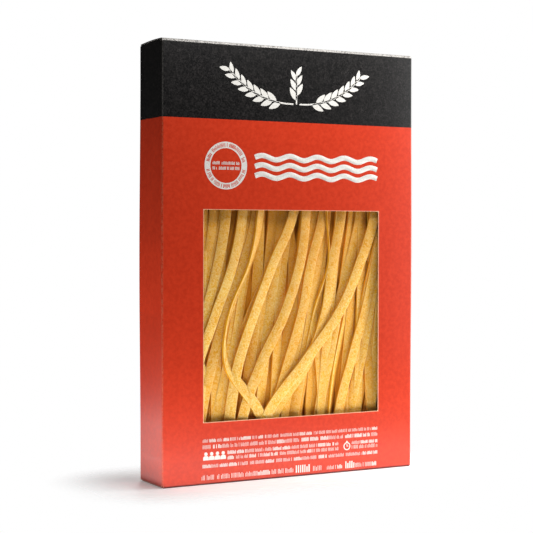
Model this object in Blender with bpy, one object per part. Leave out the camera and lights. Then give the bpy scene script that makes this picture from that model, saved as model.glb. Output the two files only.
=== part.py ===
"""A shut, windowed carton of dry ribbon pasta, standing on its base.

The carton is one folded board. Behind the cut-out in its front panel lies a clear film,
and behind the film the bundle of ribbons, which fills the carton from top to bottom.

Metres, +Z up. The front faces -Y, and the origin is at the middle of the base.
The sizes below are millimetres, and every point is scaled once, where it is made.
"""
import math
import random

import bmesh
import bpy

MM = 0.001

# the carton, fold to fold
WIDTH = 160.0
DEPTH = 30.0
PANEL_TOP = 239.0
BOARD = 0.5
CORNER_RADIUS = 0.8
CORNER_STEPS = 4
FOLD_STEPS = 5

# a folded panel starts this far inside the panel that it grows from, so that the two fuse
SCORE = 0.02

# how far the side panels and the back bow out, and the heights between which they do
SIDE_BOW = 0.5
BACK_BOW = 0.4
FOLD_BACK = DEPTH / 2 - BACK_BOW
BOW_START = 14.0
BOW_END = 225.0
BOW_STEPS = 8

# the lid: hinged at the back, crowned, folded at the front and tucked in
LID_BACK = 0.85
LID_FRONT = 1.5
LID_CROWN = 0.4
LID_SIDE_INSET = 0.25
LID_FOLD_RADIUS = 1.3
LID_FOLD_STEPS = 7
LID_OVERLAP = 0.05
CROWN_STEPS = 8
HINGE_RADIUS = 0.9
HINGE_ROOT = 3.0
HINGE_CUT = 1.0
TUCK_LENGTH = 13.0
SLIT = 0.25
SLIT_DEPTH = 2.0

# the base: hinged at the front and tucked in at the back
BASE_FOLD_RADIUS = 0.8
BASE_BACK_EDGE = 0.4
BASE_ROOT = 4.0
BASE_CUT = 1.5

# the window in the front panel
WINDOW_LEFT = -55.5
WINDOW_RIGHT = 57.0
WINDOW_BOTTOM = 33.9
WINDOW_TOP = 149.3
WINDOW_CORNER = 0.9

# the film behind it
FILM_THICKNESS = 0.3
FILM_GAP = 0.3
FILM_MARGIN = 8.0
FILM_CORNER = 3.0

# the pasta
NOODLE_WIDTH = 6.1
NOODLE_THICKNESS = 1.3
NOODLE_BOTTOM = 9.0
NOODLE_TOP = 226.0
NOODLE_STEPS = 12
NOODLE_END_SPREAD = 8.0
PASTA_GAP = 0.35
CORE_HALF_WIDTH = 76.0
CORE_FRONT = -8.2
CORE_BACK = 13.3
CORE_CORNER = 5.0
CORE_COLUMNS = 26
CORE_END_INSET = 2.0
RIDGE_HEIGHT = 0.5
SEED = 12

# a noodle turns upright as it nears the carton's side, sinks back above and below the
# window, and holds its twist outside this range of heights
UPRIGHT_FROM = 0.8
UPRIGHT_SLOPE = 1.15
SINK = 5.5
SINK_POWER = 2.5
TWIST_LOW = 20.0
TWIST_HIGH = 165.0

# where the plainly visible noodles run: x at the five heights, the depth of the middle,
# and the twist out of the front plane, in degrees, at the top, middle and bottom
PATH_HEIGHTS = (148.0, 120.0, 92.0, 64.0, 35.0)
SHOWN_NOODLES = (
    ((-47, -51, -56, -61, -65), -10.4, (4, -6, 0)),
    ((-40, -45, -53, -61, -67), -11.3, (-5, 4, 6)),
    ((-30, -36, -47, -58, -65), -12.0, (6, 8, 0)),
    ((-21, -29, -40, -49, -55), -11.2, (0, -7, 5)),
    ((-19, -25, -38, -39, -19), -12.6, (28, 62, 22)),
    ((-9, -12, -24, -37, -47), -9.6, (0, 8, 0)),
    ((2, -11, -23, -33, -38), -12.2, (5, 12, -20)),
    ((10, 6, -4, -19, -30), -12.6, (6, 0, -6)),
    ((22, 14, 8, -1, -9), -11.2, (0, 6, 5)),
    ((25, 27, 18, 12, 6), -9.8, (64, 30, 0)),
    ((34, 28, 23, 12, -9), -11.4, (-6, 10, 14)),
    ((47, 40, 32, 26, 20), -10.4, (5, -8, 0)),
    ((56, 46, 32, 9, -15), -12.8, (-4, 3, 5)),
    ((63, 57, 50, 41, 33), -11.4, (0, 9, 4)),
    ((62, 56, 50, 53, 55), -10.2, (30, 12, -6)),
    ((48, 43, 39, 32, 28), -9.6, (10, 22, 40)),
    ((-28, -33, -37, -42, -47), -9.8, (0, 6, -6)),
    ((15, 12, 15, 20, 22), -10.2, (0, 6, 8)),
    ((0, 3, 2, -4, -6), -9.4, (0, -8, 0)),
)
TWIST_HEIGHTS = (PATH_HEIGHTS[0], PATH_HEIGHTS[2], PATH_HEIGHTS[-1])

# the noodles that fill the gaps between those
FILL_COUNT = 15
FILL_HALF_WIDTH = 66.0
FILL_FRONT = -9.4
FILL_BACK = -8.6
CURL_LENGTH = 40.0


def remove_everything():
    for old in list(bpy.data.objects):
        bpy.data.objects.remove(old, do_unlink=True)


def make_material(name, colour, roughness):
    material = bpy.data.materials.new(name)
    material.use_nodes = True
    shader = material.node_tree.nodes["Principled BSDF"]
    shader.inputs["Base Color"].default_value = (*colour, 1.0)
    shader.inputs["Roughness"].default_value = roughness
    shader.inputs["Metallic"].default_value = 0.0
    material.diffuse_color = (*colour, 1.0)
    return material


def make_object(name, mesh_builder, material=None):
    """Turn a bmesh in millimetres into a closed object in metres, faces out."""
    for vert in mesh_builder.verts:
        vert.co *= MM
    bmesh.ops.recalc_face_normals(mesh_builder, faces=mesh_builder.faces)
    mesh = bpy.data.meshes.new(name)
    mesh_builder.to_mesh(mesh)
    mesh_builder.free()
    result = bpy.data.objects.new(name, mesh)
    bpy.context.scene.collection.objects.link(result)
    if material is not None:
        mesh.materials.append(material)
    return result


def loft(name, rings, material=None):
    """A closed solid through rings that all have the same number of points."""
    builder = bmesh.new()
    loops = [[builder.verts.new(point) for point in ring] for ring in rings]
    count = len(loops[0])
    for lower, upper in zip(loops, loops[1:]):
        for i in range(count):
            j = (i + 1) % count
            builder.faces.new((lower[i], lower[j], upper[j], upper[i]))
    builder.faces.new(list(reversed(loops[0])))
    builder.faces.new(loops[-1])
    return make_object(name, builder, material)


def make_box(name, low, high):
    corners = [(low[0], low[1]), (high[0], low[1]), (high[0], high[1]), (low[0], high[1])]
    rings = [[(x, y, z) for x, y in corners] for z in (low[2], high[2])]
    return loft(name, rings)


def combine(target, other, operation):
    """Apply one Boolean to the target and remove the other object.

    The board's cuts share planes with its faces, and this solver keeps such meshes closed.
    """
    modifier = target.modifiers.new("combine", "BOOLEAN")
    modifier.operation = operation
    modifier.solver = "MANIFOLD"
    modifier.object = other
    apply_modifiers(target)
    bpy.data.objects.remove(other, do_unlink=True)


def apply_modifiers(target):
    graph = bpy.context.evaluated_depsgraph_get()
    finished = bpy.data.meshes.new_from_object(target.evaluated_get(graph))
    target.modifiers.clear()
    target.data = finished


def arc(centre, radius, start, end, steps):
    """Points on an arc from start to end degrees, both ends included."""
    points = []
    for i in range(steps + 1):
        angle = math.radians(start + (end - start) * i / steps)
        points.append((centre[0] + radius * math.cos(angle), centre[1] + radius * math.sin(angle)))
    return points


def rounded_rectangle(left, right, low, high, radius, steps):
    corners = (
        ((right - radius, low + radius), -90, 0),
        ((right - radius, high - radius), 0, 90),
        ((left + radius, high - radius), 90, 180),
        ((left + radius, low + radius), 180, 270),
    )
    points = []
    for centre, start, end in corners:
        points += arc(centre, radius, start, end, steps)
    return points


def bow(height):
    """How far along its swell a panel is at this height: 0 near the ends, 1 in the middle."""
    share = (height - BOW_START) / (BOW_END - BOW_START)
    share = min(max(share, 0.0), 1.0)
    return math.sin(math.pi * share) ** 2


def lid_height(y):
    """Top of the lid over the panel's cut edge, from its hinge to its front fold."""
    share = (y + DEPTH / 2) / (FOLD_BACK + DEPTH / 2)
    straight = LID_FRONT + (LID_BACK - LID_FRONT) * share
    return straight + LID_CROWN * math.sin(math.pi * share)


def sleeve_ring(height, inset, side_round=0.0):
    """One level of the carton's wall; side_round pulls the two sides in at a fold."""
    half_width = WIDTH / 2 + SIDE_BOW * bow(height) - inset - side_round
    front = -DEPTH / 2 + inset
    back = FOLD_BACK + BACK_BOW * bow(height) - inset
    return rounded_rectangle(-half_width, half_width, front, back, CORNER_RADIUS - inset,
                             CORNER_STEPS)


def sleeve_levels():
    """Heights where the wall has a ring, with how far a side fold pulls it in there."""
    base = [(BOARD + CORNER_RADIUS * (1 - math.cos(math.radians(a))),
             CORNER_RADIUS * (1 - math.sin(math.radians(a)))) for a in (0, 30, 60, 90)]
    swell = [(BOW_START + (BOW_END - BOW_START) * i / BOW_STEPS, 0.0)
             for i in range(BOW_STEPS + 1)]
    return base + swell


def make_sleeve(inset, name, material=None):
    """The wall as a closed solid, its top following the crowned lid's underside."""
    rings = []
    for height, side_round in sleeve_levels():
        level = height if side_round > 0 or height > BOARD + CORNER_RADIUS else height + inset
        rings.append([(x, y, level) for x, y in sleeve_ring(height, inset, side_round)])
    for angle in (0, 30, 60, 90):
        turn = math.radians(angle)
        side_round = CORNER_RADIUS * (1 - math.cos(turn))
        drop = CORNER_RADIUS * (1 - math.sin(turn)) + BOARD - LID_OVERLAP + inset
        ring = sleeve_ring(PANEL_TOP, inset, side_round)
        rings.append([(x, y, PANEL_TOP + lid_height(y) - drop) for x, y in ring])
    return loft(name, rings, material)


def thicken(path, thickness):
    """Close an open path in the Y-Z plane into the outline of a board, on its left side."""
    inner = []
    for i, point in enumerate(path):
        before = path[max(i - 1, 0)]
        after = path[min(i + 1, len(path) - 1)]
        run = (after[0] - before[0], after[1] - before[1])
        length = math.hypot(*run)
        inner.append((point[0] - run[1] / length * thickness, point[1] + run[0] / length * thickness))
    return path + list(reversed(inner))


def extrude_outline(name, outline, half_width):
    rings = [[(x, y, z) for y, z in outline] for x in (-half_width, half_width)]
    return loft(name, rings)


def make_lid():
    """From inside the back panel over the hinge, along the crown, round the fold and down."""
    back = FOLD_BACK - SCORE
    front = -DEPTH / 2 + BOARD + SLIT
    hinge_y = back - HINGE_RADIUS
    hinge_z = PANEL_TOP + lid_height(hinge_y) - HINGE_RADIUS
    fold_y = front + LID_FOLD_RADIUS
    fold_z = PANEL_TOP + lid_height(fold_y) - LID_FOLD_RADIUS
    path = [(back, PANEL_TOP - HINGE_ROOT)]
    path += arc((hinge_y, hinge_z), HINGE_RADIUS, 0, 90, FOLD_STEPS)
    for i in range(1, CROWN_STEPS):
        y = hinge_y + (fold_y - hinge_y) * i / CROWN_STEPS
        path.append((y, PANEL_TOP + lid_height(y)))
    path += arc((fold_y, fold_z), LID_FOLD_RADIUS, 90, 180, LID_FOLD_STEPS)
    path.append((front, PANEL_TOP - TUCK_LENGTH))
    return extrude_outline("lid", thicken(path, BOARD), WIDTH / 2 - LID_SIDE_INSET)


def make_base():
    """From inside the front panel round the fold, back along the floor and up behind."""
    front = -DEPTH / 2 + SCORE
    back = FOLD_BACK - BOARD - SLIT
    radius = BASE_FOLD_RADIUS
    path = [(front, BASE_ROOT)]
    path += arc((front + radius, radius), radius, 180, 270, FOLD_STEPS)
    path += arc((back - radius, radius), radius, 270, 360, FOLD_STEPS)
    path.append((back, TUCK_LENGTH))
    return extrude_outline("base", thicken(path, BOARD), WIDTH / 2 - LID_SIDE_INSET)


def make_window_cutter():
    outline = rounded_rectangle(WINDOW_LEFT, WINDOW_RIGHT, WINDOW_BOTTOM, WINDOW_TOP,
                                WINDOW_CORNER, CORNER_STEPS)
    rings = [[(x, y, z) for x, z in outline] for y in (-DEPTH, -DEPTH / 2 + 5 * BOARD)]
    return loft("window cutter", rings)


def make_carton(material):
    carton = make_sleeve(0.0, "carton", material)
    combine(carton, make_sleeve(BOARD, "hollow"), "DIFFERENCE")
    outside = 1.0
    reach = WIDTH / 2 + SIDE_BOW + outside
    front = -DEPTH / 2
    back = FOLD_BACK
    top = PANEL_TOP + 2 * LID_FRONT
    trims = (
        # above the front panel's cut edge, and the slit behind that edge
        ((-reach, front - outside, PANEL_TOP), (reach, front + BOARD + SLIT, top)),
        ((-WIDTH / 2 + BOARD, front + BOARD, PANEL_TOP - SLIT_DEPTH),
         (WIDTH / 2 - BOARD, front + BOARD + SLIT, top)),
        # where the lid's hinge takes over from the back panel
        ((-reach, back - BOARD, PANEL_TOP - HINGE_CUT), (reach, back + outside, top)),
        # where the base's fold takes over from the front panel
        ((-reach, front - outside, -outside), (reach, front + BOARD, BASE_CUT)),
        # below the back panel's cut edge, and the slit before it
        ((-reach, back - BOARD - SLIT, -outside), (reach, back + outside, BASE_BACK_EDGE + BOARD)),
        ((-WIDTH / 2 + BOARD, back - BOARD - SLIT, -outside),
         (WIDTH / 2 - BOARD, back - BOARD, BASE_BACK_EDGE + SLIT_DEPTH)),
    )
    for number, (low, high) in enumerate(trims):
        combine(carton, make_box("trim %d" % number, low, high), "DIFFERENCE")
    combine(carton, make_lid(), "UNION")
    combine(carton, make_base(), "UNION")
    combine(carton, make_window_cutter(), "DIFFERENCE")
    finish_mesh(carton, smooth_angle=35)
    return carton


def make_film(material):
    outline = rounded_rectangle(WINDOW_LEFT - FILM_MARGIN, WINDOW_RIGHT + FILM_MARGIN,
                                WINDOW_BOTTOM - FILM_MARGIN, WINDOW_TOP + FILM_MARGIN,
                                FILM_CORNER, CORNER_STEPS)
    front = -DEPTH / 2 + BOARD + FILM_GAP
    rings = [[(x, y, z) for x, z in outline] for y in (front, front + FILM_THICKNESS)]
    return loft("window_film", rings, material)


def front_limit():
    """The furthest forward that any pasta may reach: just behind the film."""
    return -DEPTH / 2 + BOARD + FILM_GAP + FILM_THICKNESS + PASTA_GAP


def blend_values(values, heights, height):
    """A smooth curve through the values at falling heights, straight past both ends."""
    if height >= heights[0]:
        slope = (values[0] - values[1]) / (heights[0] - heights[1])
        return values[0] + slope * (height - heights[0])
    if height <= heights[-1]:
        slope = (values[-1] - values[-2]) / (heights[-1] - heights[-2])
        return values[-1] + slope * (height - heights[-1])
    last = len(values) - 1
    i = next(i for i in range(last) if height >= heights[i + 1])
    share = (heights[i] - height) / (heights[i] - heights[i + 1])
    p0, p1 = values[max(i - 1, 0)], values[i]
    p2, p3 = values[i + 1], values[min(i + 2, last)]
    curve = 2 * p1 + (p2 - p0) * share
    curve += (2 * p0 - 5 * p1 + 4 * p2 - p3) * share ** 2
    curve += (3 * p1 - p0 - 3 * p2 + p3) * share ** 3
    return curve / 2


def noodle_centre(xs, depth, twist, height):
    """The middle of a noodle at one height, and its twist there in radians."""
    side_limit = WIDTH / 2 - BOARD - PASTA_GAP - NOODLE_WIDTH / 2
    x = blend_values(xs, PATH_HEIGHTS, height)
    if abs(x) > side_limit * UPRIGHT_FROM:
        x = side_limit * math.tanh(x / side_limit * UPRIGHT_SLOPE)
    held = min(max(height, TWIST_LOW), TWIST_HIGH)
    angle = math.radians(blend_values(twist, TWIST_HEIGHTS, held))
    middle = (PATH_HEIGHTS[0] + PATH_HEIGHTS[-1]) / 2
    reach = (height - middle) / (NOODLE_TOP - middle)
    sink = SINK * abs(reach) ** SINK_POWER
    edge = NOODLE_WIDTH / 2 * abs(math.sin(angle)) + NOODLE_THICKNESS / 2 * abs(math.cos(angle))
    y = max(depth + sink, front_limit() + edge)
    return (x, y, height), angle


def make_noodle(name, xs, depth, twist, bottom, top):
    """One ribbon with a rectangular section, swept up its path and turned by its twist."""
    rings = []
    for i in range(NOODLE_STEPS + 1):
        height = bottom + (top - bottom) * i / NOODLE_STEPS
        (x, y, z), angle = noodle_centre(xs, depth, twist, height)
        above, _ = noodle_centre(xs, depth, twist, height + 1.0)
        lean = math.atan2(above[0] - x, 1.0)
        across = (math.cos(lean) * math.cos(angle), math.sin(angle), -math.sin(lean) * math.cos(angle))
        through = (-math.cos(lean) * math.sin(angle), math.cos(angle), math.sin(lean) * math.sin(angle))
        ring = []
        for u, v in ((-1, -1), (1, -1), (1, 1), (-1, 1)):
            half_u = u * NOODLE_WIDTH / 2
            half_v = v * NOODLE_THICKNESS / 2
            ring.append((x + across[0] * half_u + through[0] * half_v,
                         y + across[1] * half_u + through[1] * half_v,
                         z + across[2] * half_u + through[2] * half_v))
        rings.append(ring)
    return loft(name, rings)


def fill_noodles():
    """Noodles between and behind the plain ones, spread evenly with small seeded changes."""
    chance = random.Random(SEED)
    spacing = 2 * FILL_HALF_WIDTH / (FILL_COUNT - 1)
    result = []
    for i in range(FILL_COUNT):
        middle = -FILL_HALF_WIDTH + spacing * i + chance.uniform(-2.0, 2.0)
        lean = chance.uniform(0.06, 0.22)
        curl = chance.uniform(-3.0, 3.0)
        rises = [height - PATH_HEIGHTS[2] for height in PATH_HEIGHTS]
        xs = [middle + lean * rise + curl * math.cos(rise / CURL_LENGTH) for rise in rises]
        depth = chance.uniform(FILL_FRONT, FILL_BACK)
        twist = [chance.uniform(-14.0, 14.0) for _ in range(3)]
        result.append((xs, depth, twist))
    return result


def make_core(material):
    """The inside of the bundle: a slab with round corners and upright ridges on its front."""
    outline_rows = []
    for z in (NOODLE_BOTTOM + CORE_END_INSET, NOODLE_TOP - CORE_END_INSET):
        ring = []
        for column in range(CORE_COLUMNS + 1):
            x = -CORE_HALF_WIDTH + 2 * CORE_HALF_WIDTH * column / CORE_COLUMNS
            edge = max(abs(x) - (CORE_HALF_WIDTH - CORE_CORNER), 0.0) / CORE_CORNER
            rounding = CORE_CORNER * (1 - math.sqrt(max(1 - edge ** 2, 0.0)))
            ridge = RIDGE_HEIGHT * (1 if column % 2 else -1) * (1 - edge)
            ring.append((x, CORE_FRONT + rounding + ridge, z))
        back_corner = CORE_CORNER / 2
        ring.append((CORE_HALF_WIDTH, CORE_BACK - back_corner, z))
        ring.append((CORE_HALF_WIDTH - back_corner, CORE_BACK, z))
        ring.append((-CORE_HALF_WIDTH + back_corner, CORE_BACK, z))
        ring.append((-CORE_HALF_WIDTH, CORE_BACK - back_corner, z))
        outline_rows.append(ring)
    return loft("pasta", outline_rows, material)


def make_pasta(material):
    """The core with every noodle fused on by one union."""
    pasta = make_core(material)
    noodles = bpy.data.collections.new("noodles")
    bpy.context.scene.collection.children.link(noodles)
    chance = random.Random(SEED + 1)
    for number, (xs, depth, twist) in enumerate(list(SHOWN_NOODLES) + fill_noodles()):
        bottom = NOODLE_BOTTOM + chance.uniform(0.0, NOODLE_END_SPREAD)
        top = NOODLE_TOP - chance.uniform(0.0, NOODLE_END_SPREAD)
        noodle = make_noodle("noodle %d" % number, xs, depth, twist, bottom, top)
        bpy.context.scene.collection.objects.unlink(noodle)
        noodles.objects.link(noodle)
    union = pasta.modifiers.new("fuse", "BOOLEAN")
    union.operation = "UNION"
    union.operand_type = "COLLECTION"
    union.solver = "MANIFOLD"
    union.collection = noodles
    apply_modifiers(pasta)
    for noodle in list(noodles.objects):
        bpy.data.objects.remove(noodle, do_unlink=True)
    bpy.data.collections.remove(noodles)
    finish_mesh(pasta, smooth_angle=25)
    return pasta


def island_volume(faces):
    """Signed volume of a closed set of triangles, from cones to the origin."""
    total = 0.0
    for face in faces:
        a, b, c = (vert.co for vert in face.verts)
        total += a.dot(b.cross(c)) / 6
    return total


def find_islands(builder):
    """The groups of faces that hang together by edges which only two faces share."""
    islands = []
    seen = set()
    for face in builder.faces:
        if face in seen:
            continue
        seen.add(face)
        island = [face]
        for current in island:
            for edge in current.edges:
                if len(edge.link_faces) != 2:
                    continue
                for neighbour in edge.link_faces:
                    if neighbour not in seen:
                        seen.add(neighbour)
                        island.append(neighbour)
        islands.append(island)
    return islands


def finish_mesh(target, smooth_angle):
    """Split into triangles, fill sealed hollows, drop loose scraps, and shade."""
    builder = bmesh.new()
    builder.from_mesh(target.data)
    bmesh.ops.triangulate(builder, faces=builder.faces)
    islands = sorted(find_islands(builder), key=island_volume)
    spare = [face for island in islands[:-1] for face in island]
    bmesh.ops.delete(builder, geom=spare, context="FACES")
    builder.to_mesh(target.data)
    print(target.name, "triangles", len(builder.faces), "bodies dropped or filled", len(islands) - 1)
    builder.free()
    target.data.shade_smooth()
    target.data.set_sharp_from_angle(angle=math.radians(smooth_angle))


remove_everything()
carton_board = make_material("carton board", (0.78, 0.05, 0.02), 0.62)
clear_film = make_material("clear film", (0.95, 0.95, 0.95), 0.08)
pasta_surface = make_material("dry pasta", (0.82, 0.52, 0.19), 0.6)
make_carton(carton_board)
make_film(clear_film)
make_pasta(pasta_surface)
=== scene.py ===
# %% [markdown]
# # A windowed carton of ribbon pasta
#
# The object is a tall, flat carton that stands on its base. It is one folded board, printed
# red with a black band, and its front has a square window. Behind the window lies a bundle
# of long, dry, flat pasta. This lesson builds it in Blender around a solid model that was
# packed before, so every size below is the real one.
#
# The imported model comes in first.

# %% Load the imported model
import math
import random

import bmesh
import bpy
from mathutils import Matrix, Vector


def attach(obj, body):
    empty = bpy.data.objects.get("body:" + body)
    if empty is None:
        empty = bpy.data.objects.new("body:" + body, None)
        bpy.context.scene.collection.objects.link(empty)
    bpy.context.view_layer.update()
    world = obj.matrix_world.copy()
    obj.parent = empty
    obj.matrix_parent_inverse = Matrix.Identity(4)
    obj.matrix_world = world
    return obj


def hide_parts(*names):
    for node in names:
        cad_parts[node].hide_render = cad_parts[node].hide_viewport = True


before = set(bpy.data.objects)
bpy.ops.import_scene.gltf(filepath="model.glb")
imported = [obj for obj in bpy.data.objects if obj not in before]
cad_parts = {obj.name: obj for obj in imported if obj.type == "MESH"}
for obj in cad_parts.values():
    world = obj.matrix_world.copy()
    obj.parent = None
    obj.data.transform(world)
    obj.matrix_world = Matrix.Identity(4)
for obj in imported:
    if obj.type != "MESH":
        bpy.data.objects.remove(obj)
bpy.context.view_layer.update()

# %% [markdown]
# ## Sizes
#
# The numbers are in millimetres, because a carton is drawn in millimetres, and each mesh is
# scaled to metres once, when it is made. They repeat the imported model's own sizes.

# %% The carton's sizes
MM = 0.001
WIDTH = 160.0
DEPTH = 30.0
PANEL_TOP = 239.0
BOARD = 0.5
CORNER_RADIUS = 0.8
BAND_BOTTOM = 198.5
INK_HEIGHT = 0.03
SIDE = WIDTH / 2
FRONT = -DEPTH / 2 + INK_HEIGHT
BACK_BOW = 0.4
BACK = DEPTH / 2 - BACK_BOW
SIDE_BOW = 0.5
BOW_START, BOW_END = 14.0, 225.0
WINDOW_LEFT, WINDOW_RIGHT = -55.5, 57.0
WINDOW_BOTTOM, WINDOW_TOP = 33.9, 149.3
WINDOW_CORNER = 0.9


def smooth_step(start, end, value):
    """0 before start, 1 after end, and a soft rise between."""
    share = min(max((value - start) / (end - start), 0.0), 1.0)
    return share * share * (3 - 2 * share)


def bow(height):
    """How far along its swell a panel is at this height: 0 near the ends, 1 in the middle."""
    share = min(max((height - BOW_START) / (BOW_END - BOW_START), 0.0), 1.0)
    return math.sin(math.pi * share) ** 2


def arc(centre, radius, start, end, steps=4):
    """Points on an arc from start to end degrees, both ends included."""
    points = []
    for i in range(steps + 1):
        angle = math.radians(start + (end - start) * i / steps)
        points.append((centre[0] + radius * math.cos(angle), centre[1] + radius * math.sin(angle)))
    return points


print("carton", WIDTH, "x", DEPTH, "mm, front panel", PANEL_TOP, "mm tall")

# %% [markdown]
# ## Writing nodes as expressions
#
# A node tree wired by hand is hard to read in a script. The class below wraps one output
# socket, so that `1 - mask * 0.5` adds the Math nodes itself. The same two classes serve
# materials and Geometry Nodes. Every other node comes from one method, which sets a node's
# settings first and its sockets after that, because some sockets only exist once a setting
# is made.


# %% Wires and trees
class Wire:
    """One output socket that can be used in arithmetic."""

    def __init__(self, tree, socket):
        self.tree = tree
        self.socket = socket

    def other(self, name):
        """Another output of the same node."""
        return Wire(self.tree, self.socket.node.outputs[name])

    def __add__(self, value):
        return self.tree.maths("ADD", self, value)

    def __sub__(self, value):
        return self.tree.maths("SUBTRACT", self, value)

    def __rsub__(self, value):
        return self.tree.maths("SUBTRACT", value, self)

    def __mul__(self, value):
        return self.tree.maths("MULTIPLY", self, value)

    def __truediv__(self, value):
        return self.tree.maths("DIVIDE", self, value)

    def __rtruediv__(self, value):
        return self.tree.maths("DIVIDE", value, self)

    def __gt__(self, value):
        return self.tree.maths("GREATER_THAN", self, value)

    def __lt__(self, value):
        return self.tree.maths("LESS_THAN", self, value)

    def __abs__(self):
        return self.tree.maths("ABSOLUTE", self)

    __radd__ = __add__
    __rmul__ = __mul__


class Tree:
    """A node tree whose nodes are made by method calls."""

    def __init__(self, data):
        self.data = data

    def feed(self, socket, value):
        if isinstance(value, Wire):
            self.data.links.new(value.socket, socket)
        elif socket.type == "RGBA" and len(value) == 3:
            socket.default_value = (*value, 1.0)
        else:
            socket.default_value = value

    def node(self, kind, settings=None, sockets=None, output=0):
        """A node of this kind: its settings first, its sockets after them."""
        made = self.data.nodes.new(kind)
        for name, value in (settings or {}).items():
            setattr(made, name, value)
        for name, value in (sockets or {}).items():
            self.feed(made.inputs[name], value)
        return Wire(self, made.outputs[output]) if made.outputs else None

    def maths(self, operation, *values):
        return self.node("ShaderNodeMath", {"operation": operation}, dict(enumerate(values)))

    def rise(self, value, start, end):
        """0 below start, 1 above end, soft between."""
        return self.node("ShaderNodeMapRange", {"interpolation_type": "SMOOTHSTEP"},
                         {"Value": value, "From Min": start, "From Max": end})

    def mix(self, first, second, share):
        """A colour between two, by a share from 0 to 1."""
        return self.node("ShaderNodeMix", {"data_type": "RGBA"},
                         {0: share, 6: first, 7: second}, output=2)

    def vector(self, operation, *values, output=0):
        return self.node("ShaderNodeVectorMath", {"operation": operation},
                         dict(enumerate(values)), output)

    def scaled(self, vector, factor):
        return self.node("ShaderNodeVectorMath", {"operation": "SCALE"},
                         {"Vector": vector, "Scale": factor})

    def parts(self, vector):
        """The x, y and z of a vector, as three numbers."""
        x = self.node("ShaderNodeSeparateXYZ", None, {0: vector})
        return x, x.other("Y"), x.other("Z")

    def whole(self, x=0.0, y=0.0, z=0.0):
        """A vector from three numbers."""
        return self.node("ShaderNodeCombineXYZ", None, {"X": x, "Y": y, "Z": z})


print("expression classes ready")


# %% [markdown]
# Colours are easier to judge as the 0 to 255 values of a picture, but a shader works with
# linear light, so a small function converts them. A second function starts a material: it
# clears the tree and hands over the position in millimetres. A third adds the main shader.

# %% Materials in a few words
def paint(red, green, blue):
    """Picture values from 0 to 255 as linear light."""
    return tuple((v / 255 / 12.92) if v <= 10 else ((v / 255 + 0.055) / 1.055) ** 2.4
                 for v in (red, green, blue))


def start_material(name):
    """A material, its tree, and the object's own coordinates in millimetres."""
    material = bpy.data.materials.new(name)
    material.use_nodes = True
    material.node_tree.nodes.clear()
    tree = Tree(material.node_tree)
    place = tree.scaled(tree.node("ShaderNodeTexCoord", output="Object"), 1 / MM)
    return material, tree, place


def noise(tree, place, size, detail=3.0, roughness=0.5, distortion=0.0):
    """Soft noise from 0 to 1, whose blotches are about size millimetres wide."""
    return tree.node("ShaderNodeTexNoise", None,
                     {"Vector": place, "Scale": 1 / size, "Detail": detail,
                      "Roughness": roughness, "Distortion": distortion})


def finish_material(tree, sockets, bump=None, strength=0.3, distance=0.05):
    """The main shader with its sockets, and a bump whose height is in millimetres."""
    if bump is not None:
        sockets["Normal"] = tree.node("ShaderNodeBump", None,
                                      {"Height": bump, "Strength": strength,
                                       "Distance": distance * MM})
    shader = tree.node("ShaderNodeBsdfPrincipled", None, sockets)
    tree.node("ShaderNodeOutputMaterial", None, {"Surface": shader})


print("a mid red in linear light:", [round(value, 3) for value in paint(188, 58, 30)])


# %% [markdown]
# A few mesh helpers follow. `make_piece` turns a bmesh in millimetres into an object in
# metres, and `draw_edges` turns paths into bare edges for a Geometry Nodes tree to work on.

# %% Mesh helpers
def put_in_scene(name, data):
    thing = bpy.data.objects.new(name, data)
    bpy.context.scene.collection.objects.link(thing)
    return thing


def make_piece(name, builder, materials):
    for vert in builder.verts:
        vert.co *= MM
    mesh = bpy.data.meshes.new(name)
    builder.to_mesh(mesh)
    builder.free()
    for material in materials:
        mesh.materials.append(material)
    return put_in_scene(name, mesh)


def draw_edges(name, paths, attributes):
    """Edges along paths of points in millimetres, with an attribute value for each point."""
    points, edges = [], []
    for path in paths:
        for step, point in enumerate(path):
            if step:
                edges.append((len(points) - 1, len(points)))
            points.append(Vector(point) * MM)
    mesh = bpy.data.meshes.new(name)
    mesh.from_pydata(points, edges, [])
    for label, (kind, field, values) in attributes.items():
        mesh.attributes.new(label, kind, "POINT").data.foreach_set(field, values)
    return put_in_scene(name, mesh)


def settle(piece):
    """Replace an object's modifiers with the plain mesh that they make."""
    graph = bpy.context.evaluated_depsgraph_get()
    mesh = bpy.data.meshes.new_from_object(piece.evaluated_get(graph))
    piece.modifiers.clear()
    piece.data = mesh
    return piece


def soften(piece, degrees):
    """Smooth shading that breaks at edges sharper than this."""
    piece.data.shade_smooth()
    piece.data.set_sharp_from_angle(angle=math.radians(degrees))


def triangles(piece):
    return sum(len(polygon.vertices) - 2 for polygon in piece.data.polygons)


def hand_over(piece, slot, *nodes):
    """Fix the piece to the carton's one body, and hide what it stands for; its slot is not used."""
    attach(piece, "root")
    if nodes:
        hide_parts(*nodes)
    print(piece.name, "has", triangles(piece), "triangles")


print("mesh helpers ready")

# %% [markdown]
# ## The folded board
#
# A carton is cut flat from one sheet of board and folded. It could be made as a box with
# bevelled edges, but then it would have no cut edges, no flaps and no thickness, and those
# are what the eye reads as cardboard. So the outside of the sheet is laid out here as it is
# folded: a glue flap, the right side, the front with its window, the left side and the back,
# which runs on over the hinge as the lid and ends in the tuck behind the front panel. The
# front runs on under the base in the same way. Solidify then gives the sheet its thickness,
# with its own materials inside and along the cut edges.
#
# First come the upright lines of the sheet. Two lines stand close beside each fold, so that
# the smooth shading of a fold doesn't spread over the flat panel next to it.

# %% Upright lines of the sheet
BESIDE_FOLD = 0.3
FLAP_Y = BACK - BOARD - 0.02
FLAP_REACH = 14.0
FLAP_ENDS = (-13.4, 12.9)
GLUE_EDGE = SIDE - 0.25
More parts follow.
